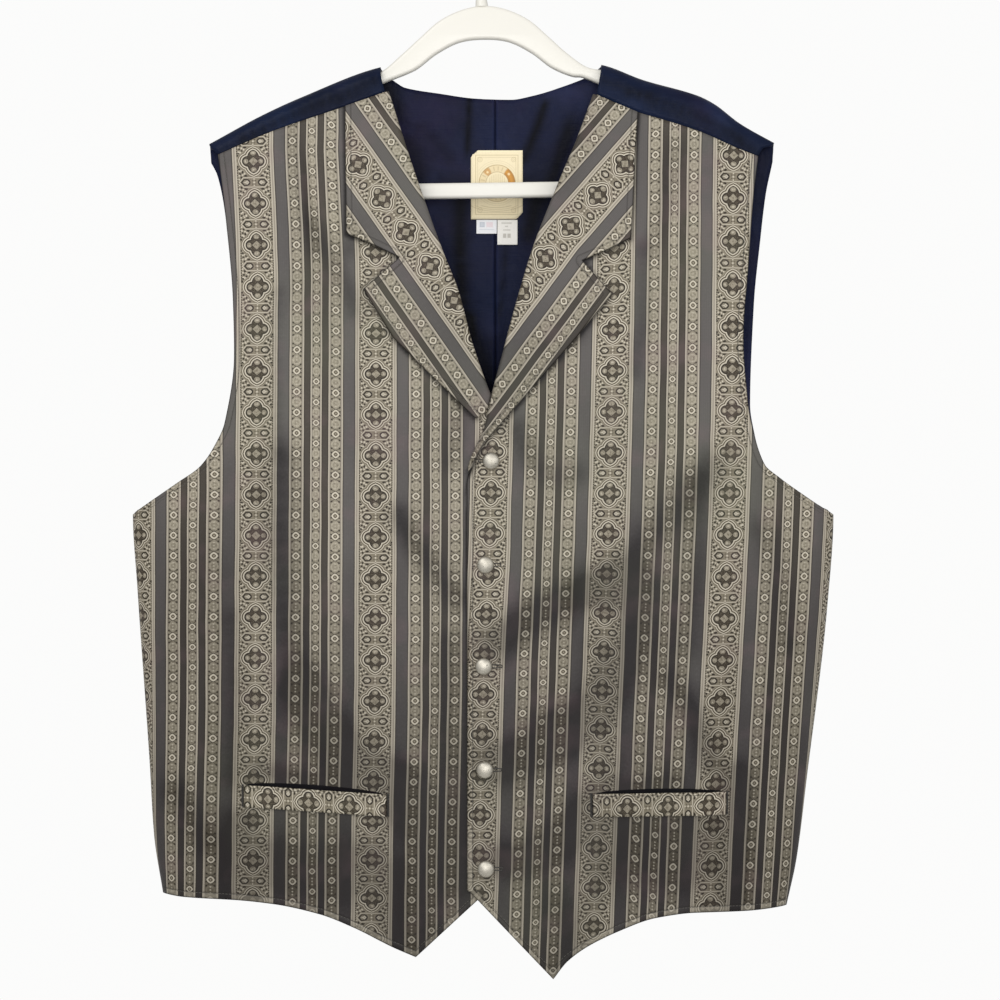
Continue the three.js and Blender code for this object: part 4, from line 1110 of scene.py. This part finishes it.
def on_front(outline, lap, lift):
    outline = np.asarray(outline)
    return np.stack([outline[:, 0], front_y(outline[:, 0], outline[:, 1], lap) - lift, outline[:, 1]], -1)


def front_outlines(side):
    """The armhole and the front edge with the hem, each as points in x and z."""
    z = np.linspace(side.seam_ends[1][1], -525, 120)
    arm = np.stack([side.sign * side.front_arm(z), z], -1)
    low = side.hem_in(-END)
    z = np.linspace(-492, low, 120)
    rise = np.stack([side.sign * side.edge(z), z], -1)
    x = np.linspace(side.edge(BOTTOM), side.side(side.hem_out(END)) - 3, 200)
    hem = np.stack([side.sign * x, np.where(x < side.point, side.hem_in(x), side.hem_out(x))], -1)
    return arm, np.concatenate([rise, hem[1:]])


for name, side, lap, rows in (("right", Right, 0, RIGHT_LAPEL), ("left", Left, LAP, LEFT_LAPEL)):
    arm, edge = front_outlines(side)
    lapel_row = inset([row[:2] for row in rows], -side.sign * LAPEL_ROW)
    runs = [
        on_front(inset(arm, -side.sign * EDGE_ROW), lap, 0.05),
        on_front(inset(edge, side.sign * EDGE_ROW), lap, 0.05),
        on_front(lapel_row, lap, LAPEL_GAP + 2 * LAPEL_HALF + 2.25),
    ]
    piece = stitches("edge_stitching_" + name, runs, thread_dark)
    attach(piece, "root")

# The welts' ends are tacked down with close black stitches
thread_black, field, shader = material("buttonhole_thread", Roughness=0.6, Sheen_Weight=0.2)
strand = field.node("TexCoord", out="Object").noise(1500, 2)
connect(field, shader, Base_Color=field.paint(srgb(24, 22, 20), (strand, srgb(50, 46, 40))))
for name, (side, lap, *tops, height) in WELTS.items():
    tacks = []
    for (x, z), inward in zip(tops, (1, -1)):
        for shift in (-1.4, -0.5):
            tacks.append([(side.sign * (x + inward * shift), z - k) for k in (-1, height + 0.5)])
    tacks = [on_front(resample(run, 1.0), lap, 0.4) for run in tacks]
    piece = stitches("welt_tacks_" + name, tacks, thread_black, 0.95, 0.9, 0.5)
    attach(piece, "root")


# Five buttonholes worked in dark thread on the left front: a flat oval of close wrapped thread with
# a slit in it, most of it under the button.
def buttonhole(name, x, z):
    length, half = 19.0, 1.35
    count, around = 72, 8
    points = []
    for k in range(count):
        t = k / count * 2 * math.pi
        cx = x + (length / 2 - half) * np.clip(math.cos(t) * 1.6, -1, 1)
        cz = z + half * math.sin(t)
        out = np.array([math.cos(t) * 0.6, math.sin(t)])
        out /= np.linalg.norm(out)
        wrap = 1 + 0.16 * (k % 2)
        for j in range(around):
            a = j / around * 2 * math.pi
            points.append((
                cx + out[0] * 0.45 * wrap * math.cos(a),
                float(front_y(cx, cz, LAP)) - 0.1 - 0.4 * wrap * math.sin(a),
                cz + out[1] * 0.45 * wrap * math.cos(a),
            ))
    faces = []
    for k in range(count):
        here, there = k * around, (k + 1) % count * around
        for j in range(around):
            beyond = (j + 1) % around
            faces.append((here + j, here + beyond, there + beyond, there + j))
    return dress(solid(name, points, faces, flat=len(faces)), thread_black)


# Each button by x and z, and the middle of its buttonhole by x
BUTTONS = (
    (6.5, -479.5, 4.0), (1.5, -571, 7.0), (0, -660.5, 8.0), (1, -752, 7.5), (2, -839.5, 8.5),
)
for k, (x, z, hole_x) in enumerate(BUTTONS):
    piece = buttonhole(f"buttonhole_{k + 1}", hole_x, z)
    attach(piece, "root")


# The buttons: plain domed metal shank buttons of an aged, slightly warm pewter tone, with fine dark
# pitting where the plating has worn.
def turned(name, profile, segments, place, finish):
    """A solid of revolution about a line through place along Y. The profile is (radius, height)."""
    points = []
    for radius, height in profile:
        for k in range(segments):
            a = 2 * math.pi * k / segments
            across, up = radius * math.cos(a), radius * math.sin(a)
            points.append((place[0] + across, place[1] - height, place[2] + up))
    return dress(solid(name, points, tube_faces(0, len(profile), segments), flat=2), finish)


pewter, field, shader = material("aged_pewter", Metallic=1.0)
place = field.node("TexCoord", out="Object")
pits = place.noise(700, 3, 2)
cloud = place.noise(180, 2, 6)
tone = field.paint(
    srgb(192, 187, 175),
    (cloud.above(0.45, 3) * 0.45, srgb(154, 149, 137)),
    (pits.above(0.62, 10) * 0.7, srgb(90, 86, 78)),
)
dent = field.node("Bump", {"Strength": 0.4, "Distance": 0.0002, "Height": pits + cloud})
connect(field, shader, Base_Color=tone, Roughness=0.42 + cloud * 0.15, Normal=dent)
dome = [(0.05, 0.3), (2.0, 0.3), (2.0, 1.2), (6.6, 1.2), (7.2, 1.35), (7.5, 1.75), (7.5, 2.1)]
dome += [(7.45 * math.cos(a), 2.1 + 3.7 * math.sin(a)) for a in np.linspace(0.06, math.pi / 2 - 0.02, 14)]
for k, (x, z, _) in enumerate(BUTTONS):
    surface = float(front_y(x, z, LAP))
    piece = turned(f"vest_button_{k + 1}", dome, 40, (x, surface, z), pewter)
    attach(piece, "root")
    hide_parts(f"button_{k + 1}")


# The labels: a woven cream neck label with a frame and a wreath, a small tab with two pale boxes, and
# a white size tab with plain bars, all woven on tape and sewn to the lining below the back neck.
def label(name, x, top, width, height, finish, cut=0.0):
    s = np.linspace(0, 1, 26)[None, :]
    t = np.linspace(0, 1, 30)[:, None]
    across = x + width * s + 0 * t
    z = top - height * (1 - t) + 0 * s
    corner = np.maximum(cut - (s * width) - (1 - t) * height, 0)
    low = np.maximum(cut - (1 - s) * width - t * height, 0)
    across = across + (corner - low) * 0.5
    z = z - (corner - low) * 0.5
    y = back_y(across, z) - 2.8 - 0.25 * np.sin(across * 0.12 + 1) * np.sin(z * 0.09) - 0.25
    under = np.stack([across, y, z], -1)
    normal = normals(under, (0, -1, 0))
    uv = np.stack([s * width + 0 * t, t * height + 0 * s], -1)
    return dress(shell(name, under + normal * 0.7, under, uv), finish, finish)


def make_label(name, base, layers=None):
    made, field, shader = material(name, Roughness=0.75, Sheen_Weight=0.2)
    cloth = field.node("UVMap", uv_map="cloth")
    u = cloth.part(0) * 1000
    v = cloth.part(1) * 1000
    grain = cloth.noise(700, 2, 1, (1, 2, 1))
    colour = field.paint(srgb(*base), ((grain - 0.45).clamp() * 0.8, tinted(base, 0.86)))
    if layers:
        colour = field.paint(colour, *layers(u, v))
    weave = u.repeat(0.7) + v.repeat(0.6) + grain
    bump = field.node("Bump", {"Strength": 0.3, "Distance": 0.0003, "Height": weave})
    connect(field, shader, Base_Color=colour, Normal=bump)
    return made


def neck_design(u, v):
    """A generic ornament: a double frame with rings in its corners, and a wreath with a gilt part and two
    painted glints.
    """
    edge = (abs(u - 23.5) - 23.5).most(abs(v - 31) - 31)
    across, up = u - 23.8, v - 32.5
    far = across.away(up)
    turn = up.math("ARCTAN2", across)
    band = (far - 16.4).inside(0.5) * (10.2 - far).inside(0.5)
    bead = (turn * 22).math("SINE") * 1.4 - 0.5
    gilt = (abs(turn - 0.42) - 0.52).inside(0.1).most((abs(turn - 2.28) - 0.2).inside(0.1) * 0.7)
    shine = (across - 10.6).away(up - 8.2).least((across + 8.7).away(up - 9.9)) - 1.1
    corner = (abs(u - 23.5) - 15.2).away(abs(v - 31) - 22.7)
    below = (12.5 - v).math("GREATER_THAN", 0)
    ink, gold, line = srgb(186, 166, 116), srgb(190, 126, 34), srgb(168, 138, 76)
    return (
        (edge.line(-4.3, 0.3) * 0.6, ink),
        (edge.line(-6.2, 0.22) * 0.5, ink),
        (corner.line(2.0, 0.25) * 0.5, ink),
        (corner.line(0.8, 0.25) * 0.4, ink),
        ((far.line(18.4, 0.2) + far.line(20.2, 0.2)) * (edge + 7).inside() * 0.3, ink),
        (band * 0.45, srgb(226, 204, 158)),
        (band * bead.clamp() * (abs(far - 13.3) - 1.9).inside(0.6) * 0.5, srgb(190, 166, 118)),
        (band * gilt * 0.9, gold),
        (band * gilt * far.line(13.3, 0.9, 2.4) * 0.7, srgb(232, 168, 72)),
        # Two painted glints on the gilt
        (shine.inside(0.8) * 0.8, srgb(252, 234, 186)),
        (far.line(16.4, 0.3) * 0.7, line),
        (far.line(10.2, 0.25) * 0.6, line),
        ((far - 8.4).inside() * u.repeat(1.9).line(0, 0.4) * 0.3, ink),
        (((u - 23) * 0.45).away(v - 21).line(10.5, 0.3) * below * 0.5, ink),
        (((u - 23) * 0.47).away(v - 22).line(13.2, 0.25) * below * 0.4, ink),
        (((u - 23) * 0.5).away(v - 23).line(15.8, 0.3) * below * 0.4, ink),
    )


def tab_design(u, v):
    """Two small pale woven boxes over a faint line."""
    boxes = (abs(u - 5.2) - 2.3).most(abs(v - 8.2) - 2.3), (abs(u - 12) - 3.0).most(abs(v - 8.2) - 2.3)
    return (
        (boxes[0].inside(0.6) * 0.4, srgb(150, 166, 184)),
        (abs(boxes[0] + 0.5).inside(0.9) * 0.5, srgb(110, 126, 150)),
        (boxes[1].inside(0.6) * 0.4, srgb(232, 196, 200)),
        (v.line(3.9, 0.35) * (abs(u - 9.2) - 6.6).inside() * 0.3, srgb(150, 160, 176)),
    )


def size_design(u, v):
    """Plain bars in four rows."""
    bars = ((8.3, 19.6, 4.6, 0.55, 0.4), (8.3, 16.6, 1.3, 0.5, 0.4), (8.5, 13.4, 3.3, 0.55, 0.4))
    bars += ((6.6, 8.2, 1.5, 1.9, 0.5), (10.6, 8.2, 1.5, 1.9, 0.5))
    return [
        ((abs(u - x) - wide).most(abs(v - z) - high).inside(0.7) * strength, srgb(132, 122, 104))
        for x, z, wide, high, strength in bars
    ]


for name, size, finish, cut in (
    ("neck_label", (-12, -197, 47, 62), make_label("label_cream", (246, 232, 196), neck_design), 6),
    ("flag_tab", (-7, -259.5, 18.5, 12.5), make_label("label_boxed", (244, 244, 246), tab_design), 0),
    ("size_tab", (12, -259.5, 18.3, 22.5), make_label("label_white", (247, 244, 237), size_design), 0),
):
    piece = label("vest_" + name, *size, finish, cut)
    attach(piece, "root")
    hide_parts(name)
    "label" if name == "neck_label" else "tape"
    size[2] / 1000
    size[3] / 1000


# The hanger: one moulding in slightly glossy warm white plastic, an arch and two arms with rounded
# edges and a straight bar, and a round hook moulded on at the top.
# The arch by x and z on its upper and under side, how much the whole hanger tilts, and the height of
# the bar's middle
HANGER_TOP = ((0, -69.5), (20, -73), (40, -82.5), (58, -98), (74, -112.5))
HANGER_UNDER = ((0, -99.5), (22, -102), (43, -112.5), (61, -126), (80, -134))
TILT, BAR = 0.012, -235.5


def hanger_edges(side):
    sign = side.sign
    outer = [(x * sign, z + TILT * x * sign) for x, z in HANGER_TOP]
    inner = [(x * sign, z + TILT * x * sign) for x, z in HANGER_UNDER]
    for x in (93, 110, 128, 146, 164, 181, 194):
        z = float(side.ridge(x)) - 4.6
        outer.append((x * sign, z))
        inner.append(((x - 5) * sign, z - 14 + 5 * np.clip((118 - x) / 25, 0, 1)))
    low = BAR + TILT * 205 * sign - 7
    shoulder = outer[-1][1]
    outer += [
        (x * sign, z) for x, z in ((205, shoulder - 16), (208, shoulder - 34), (203, low + 6), (193, low))
    ]
    inner += [(x * sign, z) for x, z in ((191, shoulder - 26), (193, low + 22), (185, low + 14))]
    return outer, inner


def centripetal(points, count):
    """Points on a centripetal Catmull-Rom curve, as three.js spaces them."""
    points = np.array(points, float)
    padded = np.concatenate([[2 * points[0] - points[1]], points, [2 * points[-1] - points[-2]]])
    out = []
    for k in range(count + 1):
        place = k / count * (len(points) - 1)
        i = min(int(place), len(points) - 2)
        weight = place - i
        p0, p1, p2, p3 = padded[i : i + 4]
        dt0, dt1, dt2 = (max(np.linalg.norm(b - a) ** 0.5, 1e-4) for a, b in ((p0, p1), (p1, p2), (p2, p3)))
        t1 = ((p1 - p0) / dt0 - (p2 - p0) / (dt0 + dt1) + (p2 - p1) / dt1) * dt1
        t2 = ((p2 - p1) / dt1 - (p3 - p1) / (dt1 + dt2) + (p3 - p2) / dt2) * dt1
        c2, c3 = -3 * p1 + 3 * p2 - 2 * t1 - t2, 2 * p1 - 2 * p2 + t1 + t2
        out.append(p1 + t1 * weight + c2 * weight**2 + c3 * weight**3)
    return out


def face_outwards(mesh):
    """Joins the points that lie together and turns every face outwards."""
    work = bmesh.new()
    work.from_mesh(mesh)
    bmesh.ops.remove_doubles(work, verts=work.verts, dist=1e-6)
    bmesh.ops.recalc_face_normals(work, faces=work.faces)
    work.to_mesh(mesh)
    work.free()
    mesh.polygons.foreach_set("use_smooth", np.ones(len(mesh.polygons), bool))


def flat_curve(name, rings, thickness, bevel, finish):
    """A flat moulding with rounded edges, drawn by its rings in x and z."""
    drawing = bpy.data.curves.new(name + "_outline", "CURVE")
    drawing.dimensions, drawing.fill_mode = "2D", "BOTH"
    drawing.extrude = (thickness / 2 - bevel) / 1000
    drawing.bevel_depth, drawing.bevel_resolution = bevel / 1000, 4
    drawing.offset = -bevel / 1000
    for ring in rings:
        spline = drawing.splines.new("POLY")
        spline.points.add(len(ring) - 1)
        for point, (x, z) in zip(spline.points, ring):
            point.co = (x / 1000, z / 1000, 0, 1)
        spline.use_cyclic_u = True
    holder = bpy.data.objects.new(name + "_outline", drawing)
    bpy.context.scene.collection.objects.link(holder)
    bpy.context.view_layer.update()
    mesh = bpy.data.meshes.new_from_object(holder.evaluated_get(bpy.context.evaluated_depsgraph_get()))
    bpy.data.objects.remove(holder)
    bpy.data.curves.remove(drawing)
    mesh.transform(Matrix.Rotation(math.pi / 2, 4, "X"))
    mesh.name = name
    face_outwards(mesh)
    mesh.materials.clear()
    piece = bpy.data.objects.new(name, mesh)
    bpy.context.scene.collection.objects.link(piece)
    return dress(piece, finish)


plastic, field, shader = material("warm_white_plastic", Coat_Weight=0.15, Coat_Roughness=0.2)
place = field.node("TexCoord", out="Object")
flow = place.noise(9, 2, 3, (1, 1, 3))
scuff = place.noise(160, 3, 5)
tone = field.paint(
    srgb(225, 222, 213),
    ((flow - 0.4).clamp() * 0.5, srgb(215, 211, 201)),
    (scuff.above(0.66, 8) * 0.25, srgb(204, 200, 190)),
)
skin = field.node("Bump", {"Strength": 0.15, "Distance": 0.0004, "Height": flow * 2 + scuff * 0.3})
connect(field, shader, Base_Color=tone, Roughness=0.34 + scuff * 0.12, Normal=skin)

(right_outer, right_inner), (left_outer, left_inner) = hanger_edges(Right), hanger_edges(Left)
rings = [
    centripetal(right_outer[::-1] + left_outer[1:], 260),
    centripetal(left_inner[::-1] + right_inner[1:], 220),
]
moulding = flat_curve("vest_hanger", rings, 10, 3, plastic)
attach(moulding, "root")
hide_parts("hanger")


def rod(name, path, radii, segments, finish):
    path = np.array(path, float)
    along = np.gradient(path, axis=0)
    along /= np.linalg.norm(along, axis=1, keepdims=True)
    points = []
    for middle, way, radius in zip(path, along, radii):
        side = np.cross(way, (0, 1, 0))
        for k in range(segments):
            a = 2 * math.pi * k / segments
            points.append(middle + radius * (math.cos(a) * side + math.sin(a) * np.array((0, 1, 0))))
    piece = solid(name, points, tube_faces(0, len(path), segments))
    face_outwards(piece.data)
    return dress(piece, finish)


# Radius of the hook's bend, to the middle of the rod
HOOK = 23.6
hook_path = [(-2, 0, -70.5), (-2, 0, -60.8), (3, 0, -52.8)]
for degrees in range(-50, 201, 25):
    angle = math.radians(degrees)
    hook_path.append((HOOK * math.cos(angle), 0, HOOK * math.sin(angle) - 19))
hook_path = np.array(centripetal(hook_path, 120))
end = np.linspace(0, 1, len(hook_path))
swell = 4.6 * np.sqrt(1 - np.clip((end - 0.975) / 0.025, 0, 0.97) ** 2)
swell = swell + 1.2 * np.clip(1 - end / 0.08, 0, 1)
hook = rod("vest_hanger_hook", hook_path, swell, 24, plastic)
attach(hook, "root")
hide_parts("hanger_hook")


# Light: a white room that fills the shadows, a large soft light from above on the left, a weaker one
# on the right and one in front. The floor is pale and below the picture.
def area_light(name, energy, size, place, aim):
    lamp = bpy.data.lights.new(name, "AREA")
    lamp.energy, lamp.size = energy, size
    holder = bpy.data.objects.new(name, lamp)
    holder.location = place
    bpy.context.scene.collection.objects.link(holder)
    target = bpy.data.objects.new(name + "_aim", None)
    target.location = aim
    bpy.context.scene.collection.objects.link(target)
    track = holder.constraints.new("TRACK_TO")
    track.target, track.track_axis, track.up_axis = target, "TRACK_NEGATIVE_Z", "UP_Y"


area_light("window_left", 31, 1.3, (-1.3, -2.2, 1.3), (0, 0, -0.45))
area_light("window_right", 15, 1.5, (1.7, -2.1, 0.3), (0, 0, -0.5))
area_light("soft_front", 33, 1.5, (0.05, -3.1, -0.3), (0, 0, -0.45))
world = bpy.data.worlds.new("white_room")
world.use_nodes = True
room = Field(world.node_tree)
seen = room.node("LightPath")
strength = seen * 0.47 + 0.5
world.node_tree.links.new(strength.socket, world.node_tree.nodes["Background"].inputs["Strength"])
world.node_tree.nodes["Background"].inputs["Color"].default_value = (1, 1, 0.995, 1)
bpy.context.scene.world = world
bpy.context.scene.view_settings.view_transform = "Standard"

floor_mesh = bpy.data.meshes.new("floor")
ring = [(1.1 * math.cos(k * math.pi / 48), 1.1 * math.sin(k * math.pi / 48), -1.6) for k in range(96)]
floor_mesh.from_pydata(ring, [], [tuple(range(96))])
floor = bpy.data.objects.new("floor", floor_mesh)
bpy.context.scene.collection.objects.link(floor)
pale_floor, _, _ = material("pale_floor", Base_Color=(0.85, 0.85, 0.84, 1), Roughness=0.9)
dress(floor, pale_floor)

camera = bpy.data.cameras.new("camera")
camera.lens, camera.sensor_width = 100, 36
viewer = bpy.data.objects.new("camera", camera)
viewer.location = (0.0144, -2.5, -0.5139)
viewer.rotation_euler = (math.radians(90), 0, 0)
bpy.context.scene.collection.objects.link(viewer)
bpy.context.scene.camera = viewer
